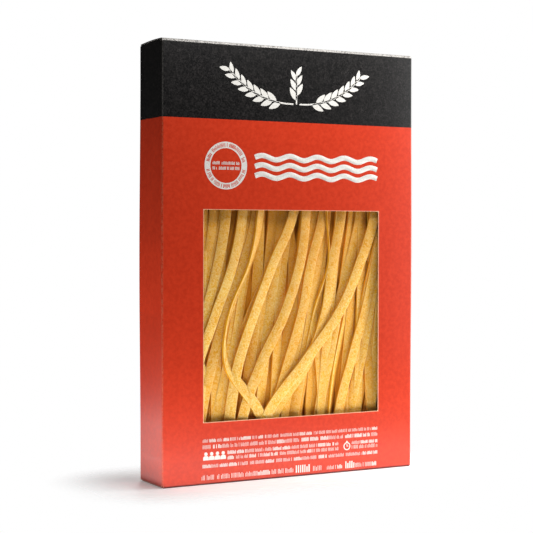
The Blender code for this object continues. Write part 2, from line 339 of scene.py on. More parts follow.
# Lines that divide the wide panels, by their distance from the middle.
FRONT_OUTER_LINE, FRONT_INNER_LINE, BACK_OUTER_LINE = 68.0, 42.0, 66.0


def spread(start, end, steps):
    """Evenly spaced values from start to end, both included."""
    return [start + (end - start) * i / steps for i in range(steps + 1)]


def lay_out_lines():
    """The lines as (x, y), clockwise from above, and the first and last line of each panel."""
    lines, panels = [], {}

    def panel(name, points):
        first = max(len(lines) - 1, 0)
        lines.extend(points)
        panels[name] = (first, len(lines))

    fold = SIDE - CORNER_RADIUS
    near = fold - BESIDE_FOLD
    low_y = FRONT + CORNER_RADIUS
    left_y = BACK - CORNER_RADIUS
    right_y = FLAP_Y - CORNER_RADIUS
    panel("glue flap", [(SIDE - FLAP_REACH, FLAP_Y), (near, FLAP_Y)])
    lines += arc((fold, right_y), CORNER_RADIUS, 90, 0)
    flap_lines = spread(*FLAP_ENDS, 5)
    panel("right", [(SIDE, y) for y in flap_lines[::-1] + [low_y + BESIDE_FOLD]])
    lines += arc((fold, low_y), CORNER_RADIUS, 0, -90)
    front = [near, FRONT_OUTER_LINE, WINDOW_RIGHT, WINDOW_RIGHT - WINDOW_CORNER]
    front += spread(FRONT_INNER_LINE, -FRONT_INNER_LINE, 4)
    front += [WINDOW_LEFT + WINDOW_CORNER, WINDOW_LEFT, -FRONT_OUTER_LINE, -near]
    panel("front", [(x, FRONT) for x in front])
    lines += arc((-fold, low_y), CORNER_RADIUS, -90, -180)
    sides = [low_y + BESIDE_FOLD] + flap_lines + [left_y - BESIDE_FOLD]
    panel("left", [(-SIDE, y) for y in sides])
    lines += arc((-fold, left_y), CORNER_RADIUS, 180, 90)
    backs = [-near] + spread(-BACK_OUTER_LINE, BACK_OUTER_LINE, 6) + [GLUE_EDGE]
    panel("back", [(x, BACK) for x in backs])
    return lines, panels


LINES, PANELS = lay_out_lines()
print(len(LINES), "lines; panels:", PANELS)

# %% [markdown]
# Next come the level rows and the swell. A full carton isn't quite flat: its sides and back
# bulge by half a millimetre in the middle, and they are straight again at the folds.

# %% Rows of the wall
WALL_BOTTOM, WALL_TOP = 1.6, 238.0
ROWS = [WALL_BOTTOM, WALL_BOTTOM + BESIDE_FOLD] + spread(8.0, 24.0, 2)
ROWS += [WINDOW_BOTTOM, WINDOW_BOTTOM + WINDOW_CORNER] + spread(50.0, 134.0, 6)
ROWS += [WINDOW_TOP - WINDOW_CORNER, WINDOW_TOP] + spread(160.0, 186.0, 2)
ROWS += [BAND_BOTTOM] + spread(210.0, 232.0, 2) + [WALL_TOP - BESIDE_FOLD, WALL_TOP]
SIDE_SWELL_FROM, SIDE_SWELL_TO = 60.0, 79.0
BACK_SWELL_TO = 13.5


def swell(line, height):
    """Where an upright line is at this height, once the full carton bulges."""
    x, y = line
    amount = bow(height)
    x += math.copysign(SIDE_BOW * amount * smooth_step(SIDE_SWELL_FROM, SIDE_SWELL_TO, abs(x)), x)
    y += BACK_BOW * amount * smooth_step(0.0, BACK_SWELL_TO, y)
    return x, y, height


def in_window(line, next_line, low, high):
    """Whether this cell of the front panel is part of the opening."""
    across = (line[0] + next_line[0]) / 2
    middle = (low + high) / 2
    on_front = line[1] == FRONT and next_line[1] == FRONT
    inside = WINDOW_LEFT < across < WINDOW_RIGHT and WINDOW_BOTTOM < middle < WINDOW_TOP
    return on_front and inside


def in_window_corner(line, next_line, low, high):
    """Whether this cell holds one of the opening's rounded corners."""
    xs = (line[0], next_line[0])
    at_side = min(xs) == WINDOW_LEFT or max(xs) == WINDOW_RIGHT
    return at_side and (low == WINDOW_BOTTOM or high == WINDOW_TOP)


print(len(ROWS), "rows from", ROWS[0], "to", ROWS[-1])

# %% [markdown]
# The lid isn't flat. It rises a little over its length, because the tuck pushes it up, and it
# stands above the cut edge of the front panel, so that a thin line of its fold shows there.

# %% The shape of the lid
LID_BACK, LID_FRONT, LID_CROWN = 0.85, 1.5, 0.4
HINGE_RADIUS, LID_FOLD_RADIUS = 0.9, 1.3
TUCK_LENGTH, SLIT, LID_EDGE = 13.0, 0.25, 0.25
BASE_FOLD_RADIUS = 0.8
CROWN_INSET = 2.0


def lid_height(y):
    """Top of the lid over the panel's cut edge, from its hinge to its front fold."""
    share = (y + DEPTH / 2) / (BACK + DEPTH / 2)
    return LID_FRONT + (LID_BACK - LID_FRONT) * share + LID_CROWN * math.sin(math.pi * share)


def lid_path():
    """The lid's profile as (y, z), from the back panel up over the hinge and into the tuck."""
    hinge_y = BACK - HINGE_RADIUS
    hinge_z = PANEL_TOP + lid_height(hinge_y) - HINGE_RADIUS
    front = -DEPTH / 2 + BOARD + SLIT
    fold_y = front + LID_FOLD_RADIUS
    fold_z = PANEL_TOP + lid_height(fold_y) - LID_FOLD_RADIUS
    path = arc((hinge_y, hinge_z), HINGE_RADIUS, 0, 90, 5)
    crown = spread(hinge_y - CROWN_INSET, fold_y + CROWN_INSET, 8)
    crown = [hinge_y - BESIDE_FOLD] + crown + [fold_y + BESIDE_FOLD]
    path += [(y, PANEL_TOP + lid_height(y)) for y in crown]
    path += arc((fold_y, fold_z), LID_FOLD_RADIUS, 90, 180, 8)
    path += [(front, fold_z - BESIDE_FOLD), (front, PANEL_TOP - TUCK_LENGTH)]
    return path


def base_path():
    """The base's profile as (y, z), from the front panel under the carton and up inside."""
    radius = BASE_FOLD_RADIUS
    back = BACK - BOARD - SLIT
    path = arc((FRONT + radius, radius), radius, 180, 270, 5)
    path += [(FRONT + radius + BESIDE_FOLD, 0.0), (0.0, 0.0), (back - radius - BESIDE_FOLD, 0.0)]
    path += arc((back - radius, radius), radius, 270, 360, 5)
    path += [(back, radius + BESIDE_FOLD), (back, TUCK_LENGTH)]
    return path


print("lid stands", round(lid_height(-DEPTH / 2), 2), "mm over the front and",
      round(lid_height(BACK), 2), "mm over the back")

# %% [markdown]
# The sheet itself is then quick to make. Every row is a list of points, and a strip of faces
# joins each row to the next. The wall comes first. The flaps, the lid and the base grow from
# its top and bottom rows, each over its own range of lines, so a flap is cut free from its
# neighbours exactly where a real one is.

# %% Build the sheet
RED, BLACK = 0, 1
FLAP_CLEARANCE = 0.1
BACK_EDGE, CORNER_SHORT = 0.4, 0.1
TUCK_TAPER, TAPER_FROM, TAPER_TO = 2.5, 66.0, 79.0
WIDEN_STEPS = 4


def join_rows(builder, lower, upper, ink):
    """Faces between two rows of the sheet, with their printed side out."""
    for i in range(len(lower) - 1):
        face = builder.faces.new((lower[i], upper[i], upper[i + 1], lower[i + 1]))
        face.material_index = ink


def extend(builder, row, levels, ink, down=False):
    """Add the levels as rows above this row of the sheet, or below it."""
    for level in levels:
        following = [builder.verts.new(point) for point in level]
        lower, upper = (following, row) if down else (row, following)
        join_rows(builder, lower, upper, ink)
        row = following


def window_corner(builder, corners, line, next_line, low, high):
    """The bit of board between a square corner and the opening's round one."""
    right = line[0] == WINDOW_RIGHT
    top = high == WINDOW_TOP
    centre = (WINDOW_RIGHT - WINDOW_CORNER if right else WINDOW_LEFT + WINDOW_CORNER,
              WINDOW_TOP - WINDOW_CORNER if top else WINDOW_BOTTOM + WINDOW_CORNER)
    quarter = {(True, True): 0, (False, True): 90, (False, False): 180, (True, False): 270}
    start = quarter[(right, top)]
    inner = arc(centre, WINDOW_CORNER, start, start + 90)[1:-1]
    lower_i, upper_i, upper_j, lower_j = corners
    ends = {0: (lower_i, upper_i, upper_j), 90: (upper_i, upper_j, lower_j),
            180: (upper_j, lower_j, lower_i), 270: (lower_j, lower_i, upper_i)}
    first, square, last = ends[start]
    rim = [first] + [builder.verts.new((x, FRONT, z)) for x, z in inner] + [last]
    for near, far in zip(rim, rim[1:]):
        builder.faces.new((square, far, near))


def build_wall(builder):
    """The four panels and the glue flap, without the opening of the window."""
    rows = []
    for height in ROWS:
        rows.append([builder.verts.new(swell(line, height)) for line in LINES])
    for r in range(len(ROWS) - 1):
        for i in range(len(LINES) - 1):
            cell = (LINES[i], LINES[i + 1], ROWS[r], ROWS[r + 1])
            corners = (rows[r][i], rows[r + 1][i], rows[r + 1][i + 1], rows[r][i + 1])
            if in_window(*cell):
                if in_window_corner(*cell):
                    window_corner(builder, corners, *cell)
                continue
            face = builder.faces.new(corners)
            face.material_index = BLACK if ROWS[r] >= BAND_BOTTOM else RED
    return rows[0], rows[-1]


def build_dust_flaps(builder, bottom, top):
    """The four flaps that the side panels fold in under the lid and over the base."""
    turns = [math.radians(angle) for angle in spread(0, 90, 4)]
    reaches = (CORNER_RADIUS + BESIDE_FOLD, FLAP_REACH / 2, FLAP_REACH)
    floor = BOARD + FLAP_CLEARANCE
    for name, sign in (("right", 1), ("left", -1)):
        first, last = PANELS[name]
        kept = [i for i in range(first, last) if FLAP_ENDS[0] <= LINES[i][1] <= FLAP_ENDS[1]]
        depths = [LINES[i][1] for i in kept]
        above, below = [], []
        for turn in turns:
            x = sign * (SIDE - CORNER_RADIUS * (1 - math.cos(turn)))
            fall = CORNER_RADIUS * (1 - math.sin(turn))
            above.append([(x, y, PANEL_TOP + lid_height(y) - floor - fall) for y in depths])
            below.append([(x, y, floor + fall) for y in depths])
        for reach in reaches:
            x = sign * (SIDE - reach)
            above.append([(x, y, PANEL_TOP + lid_height(y) - floor) for y in depths])
            below.append([(x, y, floor) for y in depths])
        extend(builder, [top[i] for i in kept], above, BLACK)
        extend(builder, [bottom[i] for i in kept], below, RED, down=True)


def build_lid(builder, top):
    """The back panel runs on over the hinge and widens to the lid, which ends in the tuck."""
    first, last = PANELS["back"]
    path = lid_path()
    widen = (SIDE - LID_EDGE) / (SIDE - CORNER_RADIUS)
    levels = []
    for step, (y, z) in enumerate(path):
        share = min(step / WIDEN_STEPS, 1.0)
        taper = TUCK_TAPER if step == len(path) - 1 else 0.0
        row = []
        for x, _ in LINES[first:last]:
            wide = x * (1 + (widen - 1) * share) if x < 0 else x
            narrowed = math.copysign(taper * smooth_step(TAPER_FROM, TAPER_TO, abs(x)), x)
            row.append((wide - narrowed, y, z))
        levels.append(row)
    extend(builder, top[first:last], levels, BLACK)


def build_base(builder, bottom):
    """The front panel runs on under the carton and up inside the back."""
    first, last = PANELS["front"]
    lines = LINES[first:last + 1]
    levels = [[(x, y, z) for x, _ in lines] for y, z in base_path()]
    extend(builder, bottom[first:last + 1], levels, RED, down=True)


def build_cut_edges(builder, bottom, top):
    """Plain cut ends: the front's top edge, the back's bottom edge, and the corners."""
    flap, right, front = PANELS["glue flap"], PANELS["right"], PANELS["front"]
    left, back = PANELS["left"], PANELS["back"]
    for first, last in ((flap[1], right[0] + 1), (right[1], left[0] + 1), (left[1], back[0])):
        ends = [(x, y, PANEL_TOP if y == FRONT else PANEL_TOP - CORNER_SHORT)
                for x, y in LINES[first:last]]
        extend(builder, top[first:last], [ends], BLACK)
    for first, last in ((flap[1], right[0] + 1), (right[1], front[0]),
                        (front[1] + 1, left[0] + 1), (left[1], len(LINES))):
        ends = [(x, y, BACK_EDGE if y == BACK else BACK_EDGE + CORNER_SHORT)
                for x, y in LINES[first:last]]
        extend(builder, bottom[first:last], [ends], RED, down=True)


sheet = bmesh.new()
bottom_row, top_row = build_wall(sheet)
build_dust_flaps(sheet, bottom_row, top_row)
build_lid(sheet, top_row)
build_base(sheet, bottom_row)
build_cut_edges(sheet, bottom_row, top_row)
loose = [vert for vert in sheet.verts if not vert.link_faces]
bmesh.ops.delete(sheet, geom=loose, context="VERTS")
open_edges = sum(1 for edge in sheet.edges if len(edge.link_faces) == 1)
print("sheet has", len(sheet.faces), "faces and", open_edges, "cut edges")

# %% [markdown]
# ## Printed board
#
# The red and the black are inks on uncoated board, so they aren't even. Under a lens they
# show the paper: blotches a millimetre or two across, and short fibres. Noise does both. Its
# coordinates are the object's own millimetres, so the grain has a true size and stays put.
#
# Folded and cut board also wears first where it is bent. A share that falls off from each
# fold and from the window's edge lets the pale core of the board show there a little. At the
# folds that pale line is partly wear and partly a painted highlight.

# %% Distances that the wear and the painted highlights follow
FOLD_WEAR_AND_HIGHLIGHT = 0.7
BACK_WEAR_AND_HIGHLIGHT_FROM, BACK_WEAR_AND_HIGHLIGHT_TO = 0.9, 0.2
CUT_WEAR_FULL, CUT_WEAR_GONE = 0.04, 0.46
LID_WEAR_AND_HIGHLIGHT_FULL, LID_WEAR_AND_HIGHLIGHT_GONE = 1.3, 2.4


def fold_wear_and_highlight(tree, place):
    """How close a point is to one of the four upright folds."""
    x, y, _ = tree.parts(place)
    fold_x = SIDE - CORNER_RADIUS / 4
    at_side = tree.rise(abs(x), fold_x - FOLD_WEAR_AND_HIGHLIGHT, fold_x)
    at_front = 1 - tree.rise(abs(y - (FRONT + CORNER_RADIUS / 4)), 0.0, FOLD_WEAR_AND_HIGHLIGHT)
    at_back = tree.rise(y, BACK - BACK_WEAR_AND_HIGHLIGHT_FROM, BACK - BACK_WEAR_AND_HIGHLIGHT_TO)
    return at_side * tree.maths("MAXIMUM", at_front, at_back)


def window_wear(tree, place):
    """How close a point of the front panel is to the edge of the opening."""
    x, y, z = tree.parts(place)
    out_x = abs(x - (WINDOW_LEFT + WINDOW_RIGHT) / 2) - (WINDOW_RIGHT - WINDOW_LEFT) / 2
    out_z = abs(z - (WINDOW_BOTTOM + WINDOW_TOP) / 2) - (WINDOW_TOP - WINDOW_BOTTOM) / 2
    outside = tree.maths("MAXIMUM", out_x, out_z)
    in_front = y < FRONT + CORNER_RADIUS
    return (1 - tree.rise(outside, CUT_WEAR_FULL, CUT_WEAR_GONE)) * in_front


def lid_wear_and_highlight(tree, place):
    """How close a point is to the lid's front fold, where cracked ink and a painted highlight make
    a pale line.
    """
    _, y, z = tree.parts(place)
    above = z > PANEL_TOP + 0.05
    return tree.rise(y * -1, -(FRONT + LID_WEAR_AND_HIGHLIGHT_GONE), -(FRONT + LID_WEAR_AND_HIGHLIGHT_FULL)) * above


# The pale lines at the folds are partly wear and partly a painted highlight.
print("wear follows the folds, the window and the lid's front edge")

# %% [markdown]
# The red ink is a little glossy over its fibres, and its lowest millimetre carries a painted
# shade, where the board curls under and loses the light. The black is matt and shows the board's
# fibres as a grey felt. The inside of the carton is plain grey-white board, and the cut edges are
# the same board, slightly stained by the ink above it.

# %% Materials of the board
FOOT_SHADE, FOOT_SHADE_FROM, FOOT_SHADE_TO = 0.9, 1.2, 0.5


def make_red_print():
    material, tree, place = start_material("red_print")
    blotches = noise(tree, place, 2.2, detail=4.0, roughness=0.65)
    fibres = noise(tree, tree.vector("MULTIPLY", place, (1.0, 1.0, 0.35)), 0.35, detail=2.0)
    base = tree.mix(paint(182, 45, 17), paint(196, 53, 23), tree.rise(blotches, 0.3, 0.7))
    base = tree.mix(base, paint(212, 84, 56), tree.rise(fibres, 0.58, 0.8) * 0.2)
    crumbs = tree.rise(noise(tree, place, 0.9, detail=3.0), 0.3, 0.65)
    # The pale line along the folds is partly worn ink and partly a painted highlight.
    frayed_wear_and_highlight = fold_wear_and_highlight(tree, place) * crumbs * 0.14
    wear_and_highlight = tree.maths("MAXIMUM", frayed_wear_and_highlight, window_wear(tree, place) * (0.6 + blotches * 0.4))
    base = tree.mix(base, paint(236, 192, 154), wear_and_highlight)
    # Painted shade: the lowest millimetre darkens to a deep red where the board curls under.
    _, _, height = tree.parts(place)
    lit = tree.rise(height, FOOT_SHADE_TO, FOOT_SHADE_FROM)
    base = tree.mix(base, paint(84, 12, 4), FOOT_SHADE - lit * FOOT_SHADE)
    finish_material(tree, {"Base Color": base, "Roughness": 0.27 + blotches * 0.1,
                           "Specular IOR Level": 0.34},
                    bump=blotches * 0.5 + fibres, strength=0.35, distance=0.02)
    return material


def make_black_print():
    material, tree, place = start_material("black_print")
    felt = noise(tree, place, 2.2, detail=5.0, roughness=0.75, distortion=1.2)
    specks = noise(tree, place, 0.8, detail=3.0, roughness=0.75, distortion=0.5)
    grey = tree.rise(felt, 0.42, 0.68) * 0.4 + tree.rise(specks, 0.47, 0.63) * 0.6
    base = tree.mix(paint(1, 1, 1), paint(45, 42, 41), grey)
    # Pale lines at the upright folds and at the lid's front fold: partly worn ink, partly a painted
    # highlight.
    wear_and_highlight = tree.maths("MAXIMUM", fold_wear_and_highlight(tree, place) * 0.12, lid_wear_and_highlight(tree, place) * 0.75)
    frayed_wear_and_highlight = wear_and_highlight * tree.rise(noise(tree, place, 0.8, detail=3.0), 0.2, 0.6)
    base = tree.mix(base, paint(205, 200, 194), frayed_wear_and_highlight)
    finish_material(tree, {"Base Color": base, "Roughness": 0.27 + felt * 0.12,
                           "Specular IOR Level": 0.3},
                    bump=felt + specks * 0.5, strength=0.5, distance=0.03)
    return material


def make_bare_board(name, first, second, size):
    material, tree, place = start_material(name)
    flecks = noise(tree, place, size, detail=4.0, roughness=0.7)
    base = tree.mix(paint(*first), paint(*second), tree.rise(flecks, 0.35, 0.7))
    finish_material(tree, {"Base Color": base, "Roughness": 0.85 + flecks * 0.1},
                    bump=flecks, strength=0.3, distance=0.03)
    return material


red_print = make_red_print()
black_print = make_black_print()
inner_board = make_bare_board("inner_board", (205, 198, 186), (228, 223, 213), 1.2)
red_cut = make_bare_board("red_side_cut", (222, 160, 138), (240, 205, 188), 0.5)
black_cut = make_bare_board("black_side_cut", (70, 66, 63), (120, 115, 110), 0.5)
print("board materials made")

# %% [markdown]
# Now the sheet becomes board. Solidify pushes a second skin inwards by the board's thickness
# and closes the rim. Its two offsets pick the materials of the inside and of the cut edges.

# %% Thickness and finish of the carton
carton = make_piece("carton_board", sheet, [red_print, black_print, inner_board, inner_board,
                                            red_cut, black_cut])
thick = carton.modifiers.new("board", "SOLIDIFY")
thick.thickness = BOARD * MM
thick.offset = -1.0
thick.use_even_offset = True
thick.use_quality_normals = True
thick.material_offset = 2
thick.material_offset_rim = 4
settle(carton)
soften(carton, 40)
hand_over(carton, "carton_board", "carton")

# %% [markdown]
# ## Window film
#
# A clear film closes the window from inside. It hardly shows: it adds a faint gloss where
# light grazes it. A thin closed sheet with a small opacity that grows towards grazing angles
# does that without the dark shadows that a refracting sheet would cast on the pasta.

# %% Film
FILM_FRONT, FILM_THICKNESS, FILM_MARGIN, FILM_CORNER = -14.42, 0.06, 8.0, 3.0


def rounded_outline(left, right, low, high, radius, steps=6):
    """A rectangle with round corners, anticlockwise from its lower right."""
    corners = (((right - radius, low + radius), -90), ((right - radius, high - radius), 0),
               ((left + radius, high - radius), 90), ((left + radius, low + radius), 180))
    return [point for centre, start in corners
            for point in arc(centre, radius, start, start + 90, steps)]


def add_slab(builder, outline, front, back):
    """A flat closed shape that faces the front: the outline is (x, z), anticlockwise."""
    near = [builder.verts.new((x, front, z)) for x, z in outline]
    far = [builder.verts.new((x, back, z)) for x, z in outline]
    builder.faces.new(near)
    builder.faces.new(far[::-1])
    for i in range(len(outline)):
        j = (i + 1) % len(outline)
        builder.faces.new((near[j], near[i], far[i], far[j]))


def make_film_material():
    material, tree, place = start_material("clear_film")
    rim = tree.node("ShaderNodeLayerWeight", None, {"Blend": 0.35}, output="Fresnel")
    ripples = noise(tree, place, 28.0, detail=1.0)
    finish_material(tree, {"Base Color": (0.03, 0.03, 0.03), "Roughness": 0.06 + ripples * 0.06,
                           "Alpha": 0.015 + rim * 0.07},
                    bump=ripples, strength=0.4, distance=0.3)
    return material


film_outline = rounded_outline(WINDOW_LEFT - FILM_MARGIN, WINDOW_RIGHT + FILM_MARGIN,
                               WINDOW_BOTTOM - FILM_MARGIN, WINDOW_TOP + FILM_MARGIN, FILM_CORNER)
film_builder = bmesh.new()
add_slab(film_builder, film_outline, FILM_FRONT, FILM_FRONT + FILM_THICKNESS)
film = make_piece("window_film_sheet", film_builder, [make_film_material()])
hand_over(film, "window_film", "window_film")

# %% [markdown]
# ## Pasta
#
# Each ribbon is a flat strip about six millimetres wide, rolled, cut and dried, so it wanders
# a little and some twist over. The ones in front are laid where they show through the
# window: a table gives each ribbon's place across the carton at five heights, its depth, and
# its twist. A smooth curve runs through the five places. Behind them seeded random ribbons
# fill the carton.

# %% Where the plain ribbons run
RIBBON_WIDTH, RIBBON_THICKNESS, RIBBON_EDGE = 6.1, 1.3, 0.3
PASTA_BOTTOM, PASTA_TOP = 9.0, 226.0
PASTA_GAP = 0.35
PASTA_FRONT = -DEPTH / 2 + BOARD + 0.6 + PASTA_GAP
PATH_HEIGHTS = (148.0, 120.0, 92.0, 64.0, 35.0)
PLAIN_RIBBONS = (
    ((-47, -51, -56, -61, -65), -10.4, (4, -6, 0)),
    ((-40, -45, -53, -61, -67), -11.3, (-5, 4, 6)),
    ((-30, -36, -47, -58, -65), -12.0, (6, 8, 0)),
    ((-21, -29, -40, -49, -55), -11.2, (0, -7, 5)),
    ((-19, -25, -38, -39, -19), -12.6, (28, 58, -4)),
    ((-9, -12, -24, -37, -47), -9.6, (0, 8, 0)),
    ((2, -11, -23, -33, -38), -12.2, (5, 12, -20)),
    ((10, 6, -4, -19, -30), -12.6, (6, 0, -6)),
    ((22, 14, 8, -1, -9), -11.2, (0, 6, 5)),
    ((25, 27, 18, 12, 6), -9.8, (64, 30, 0)),
    ((34, 28, 23, 12, -9), -11.4, (-6, 10, 14)),
    ((47, 40, 32, 26, 20), -10.4, (5, -8, 0)),
    ((56, 46, 32, 9, -15), -12.8, (-4, 3, 5)),
    ((63, 57, 50, 41, 33), -11.4, (0, 9, 4)),
    ((62, 56, 50, 53, 55), -10.2, (30, 12, -6)),
    ((48, 43, 39, 32, 28), -9.6, (10, 22, 40)),
    ((-28, -33, -37, -42, -47), -9.8, (0, 6, -6)),
    ((15, 12, 15, 20, 22), -10.2, (0, 6, 8)),
    ((0, 3, 2, -4, -6), -9.4, (0, -8, 0)),
)


def blend_values(values, heights, height):
    """A smooth curve through the values at falling heights, straight past both ends."""
    if height >= heights[0]:
        slope = (values[0] - values[1]) / (heights[0] - heights[1])
        return values[0] + slope * (height - heights[0])
    if height <= heights[-1]:
        slope = (values[-1] - values[-2]) / (heights[-1] - heights[-2])
        return values[-1] + slope * (height - heights[-1])
    last = len(values) - 1
    i = next(i for i in range(last) if height >= heights[i + 1])
    share = (heights[i] - height) / (heights[i] - heights[i + 1])
    p0, p1 = values[max(i - 1, 0)], values[i]
    p2, p3 = values[i + 1], values[min(i + 2, last)]
    curve = 2 * p1 + (p2 - p0) * share
    curve += (2 * p0 - 5 * p1 + 4 * p2 - p3) * share ** 2
    return (curve + (3 * p1 - p0 - 3 * p2 + p3) * share ** 3) / 2


print(len(PLAIN_RIBBONS), "ribbons are laid by hand")

# %% [markdown]
# A ribbon's middle line has to keep three promises. It turns upright before it meets a side
# of the carton. It sinks backwards above and below the window, as a real bundle does. And
# however it twists, its edge stays behind the film.

# %% The middle line of a ribbon
SIDE_LIMIT = WIDTH / 2 - BOARD - PASTA_GAP - RIBBON_WIDTH / 2
TWIST_HEIGHTS = (PATH_HEIGHTS[0], PATH_HEIGHTS[2], PATH_HEIGHTS[-1])
TWIST_RANGE = (20.0, 165.0)
SINK, SINK_POWER = 5.5, 2.5
NEAR_SIDE, SIDE_PULL = 0.8, 1.15
FILL_MARGIN, FILL_SHIFT, FILL_DEPTH = 2.0, 1.5, 0.5
LEAN_LEAST, LEAN_MOST = 0.02, 0.2
CURL, CURL_LENGTH, FILL_TWIST = 2.5, 40.0, 16.0


def ribbon_point(xs, depth, twist, height):
    """The middle of a ribbon at one height, and the direction in which its flat side faces."""
    x = blend_values(xs, PATH_HEIGHTS, height)
    if abs(x) > SIDE_LIMIT * NEAR_SIDE:
        x = SIDE_LIMIT * math.tanh(x / SIDE_LIMIT * SIDE_PULL)
    held = min(max(height, TWIST_RANGE[0]), TWIST_RANGE[1])
    angle = math.radians(blend_values(twist, TWIST_HEIGHTS, held))
    middle = (PATH_HEIGHTS[0] + PATH_HEIGHTS[-1]) / 2
    sink = SINK * abs((height - middle) / (PASTA_TOP - middle)) ** SINK_POWER
    edge = RIBBON_WIDTH / 2 * abs(math.sin(angle))
    edge += RIBBON_THICKNESS / 2 * abs(math.cos(angle))
    y = max(depth + sink, PASTA_FRONT + edge)
    return Vector((x, y, height)), Vector((math.sin(angle), -math.cos(angle), 0.0))


def fill_ribbons(seed, layers, columns, front, back):
    """Ribbons behind the plain ones: columns side by side, in layers, each a little askew."""
    chance = random.Random(seed)
    half = SIDE_LIMIT - FILL_MARGIN
    middle_height = PATH_HEIGHTS[2]
    result = []
    for layer in range(layers):
        depth = front + (back - front) * layer / max(layers - 1, 1)
        for column in range(columns):
            middle = -half + 2 * half * (column + 0.5 * (layer % 2)) / (columns - 0.5)
            middle += chance.uniform(-FILL_SHIFT, FILL_SHIFT)
            lean = chance.uniform(LEAN_LEAST, LEAN_MOST)
            curl = chance.uniform(-CURL, CURL)
            xs = [middle + lean * (z - middle_height)
                  + curl * math.cos((z - middle_height) / CURL_LENGTH) for z in PATH_HEIGHTS]
            twist = [chance.uniform(-FILL_TWIST, FILL_TWIST) for _ in range(3)]
            result.append((xs, depth + chance.uniform(-FILL_DEPTH, FILL_DEPTH), twist))
    return result


print("a ribbon's middle stays within", round(SIDE_LIMIT, 1), "mm of the carton's middle")

# %% [markdown]
# The middle lines are drawn as bare edges that carry two attributes: the way the flat side
# faces, and a number of the ribbon's own, which sets its small waves and its tint apart from
# its neighbours'. One Geometry Nodes tree then makes every ribbon. It turns the edges into
# curves, lets them wave, and sweeps a rounded rectangle along them. The sweep keeps the
# profile's own attribute, which tells the shader where a cut side starts.


# %% The ribbon tree
SOCKET_KINDS = {float: "NodeSocketFloat", int: "NodeSocketInt", type(None): "NodeSocketObject"}


def start_geometry(name, inputs):
    """A Geometry Nodes tree with named inputs; gives the tree and one wire for each input."""
    data = bpy.data.node_groups.new(name, "GeometryNodeTree")
    data.interface.new_socket("Geometry", in_out="INPUT", socket_type="NodeSocketGeometry")
    for label, value in inputs.items():
        kind = SOCKET_KINDS[type(value)]
        socket = data.interface.new_socket(label, in_out="INPUT", socket_type=kind)
        if value is not None:
            socket.default_value = value
    data.interface.new_socket("Geometry", in_out="OUTPUT", socket_type="NodeSocketGeometry")
    tree = Tree(data)
    start = tree.node("NodeGroupInput")
    return tree, start, {label: start.other(label) for label in inputs}


def end_geometry(tree, geometry, material):
    """Realize the instances, set the material, and connect the output."""
    real = tree.node("GeometryNodeRealizeInstances", None, {"Geometry": geometry})
    painted = tree.node("GeometryNodeSetMaterial", None, {"Geometry": real, "Material": material})
    tree.node("NodeGroupOutput", None, {0: painted})
    return tree.data


def grow(piece, data, values):
    """Run a tree on a piece with these inputs, and keep the plain mesh."""
    modifier = piece.modifiers.new(data.name, "NODES")
    modifier.node_group = data
    for item in data.interface.items_tree:
        if item.in_out == "INPUT" and item.name in values:
            modifier[item.identifier] = values[item.name]
    return settle(piece)


def read_attribute(tree, name, kind="FLOAT"):
    return tree.node("GeometryNodeInputNamedAttribute", {"data_type": kind}, {"Name": name})


def curves_facing(tree, start, normal):
    """The edges as curves whose profile will face along this normal."""
    lines = tree.node("GeometryNodeMeshToCurve", None, {"Mesh": start})
    return tree.node("GeometryNodeSetCurveNormal", {"mode": "FREE"},
                     {"Curve": lines, "Normal": normal})


def bar_profile(tree, size):
    return tree.node("GeometryNodeCurvePrimitiveQuadrilateral", None,
                     {"Width": size["Thickness"], "Height": size["Width"]})


def sweep(tree, lines, profile, material):
    swept = tree.node("GeometryNodeCurveToMesh", None,
                      {"Curve": lines, "Profile Curve": profile, "Fill Caps": True})
    return end_geometry(tree, swept, material)


def make_ribbon_tree(material):
    tree, start, size = start_geometry("ribbons", {
        "Width": 0.006, "Thickness": 0.001, "Edge": 0.0003, "Wave": 0.0003,
        "Wave length": 0.04, "Seed": 3.0})
    facing = read_attribute(tree, "facing", "FLOAT_VECTOR")
    own = read_attribute(tree, "own")
    lines = curves_facing(tree, start, facing)
    apart = tree.whole(own * 3.1, own * 1.7 + size["Seed"])
    shifted = tree.vector("ADD", tree.node("GeometryNodeInputPosition"), apart)
    wander = tree.node("ShaderNodeTexNoise", None,
                       {"Vector": shifted, "Scale": 1 / size["Wave length"], "Detail": 1.0})
    push = tree.scaled(facing, (wander - 0.5) * size["Wave"] * -1)
    lines = tree.node("GeometryNodeSetPosition", None, {"Geometry": lines, "Offset": push})
    profile = tree.node("GeometryNodeFilletCurve", {"mode": "POLY"},
                        {"Curve": bar_profile(tree, size), "Count": 2, "Radius": size["Edge"]})
    _, across, _ = tree.parts(tree.node("GeometryNodeInputPosition"))
    cut = (abs(across) - (size["Width"] / 2 - size["Edge"])) / size["Edge"]
    profile = tree.node("GeometryNodeStoreNamedAttribute",
                        {"data_type": "FLOAT", "domain": "POINT"},
                        {"Geometry": profile, "Name": "cut_side",
                         "Value": tree.maths("MAXIMUM", cut, 0.0)})
    return sweep(tree, lines, profile, material)


print("tree for ribbons is written")

# %% [markdown]
# Dry egg pasta has two looks. The rolled faces are pale and rough, with whitish worm-like
# marks about a millimetre long, and they end in a pale lip, which is partly the paler edge of
# the dough and partly a painted highlight. The cut sides are smooth and show the amber body.
# The shader mixes the two by the profile's attribute. Noise that runs through its middle value
# makes the worms: where it crosses one half, a thin line appears.
# Light also sinks a little into pasta before it comes back, so the material has some
# subsurface scattering.
#
# Each ribbon has a tint of its own, so that neighbours stand apart. Two more mixes are painted
# shade, for light that a real bundle loses: amber towards its back, and brown towards the
# window's top.

# %% Pasta material
# Depths and heights over which painted shade darkens the ribbons.
DEEP_SHADE_FROM, DEEP_SHADE_TO = -12.3, -7.6
TOP_SHADE_FROM, TOP_SHADE_TO = 100.0, 152.0


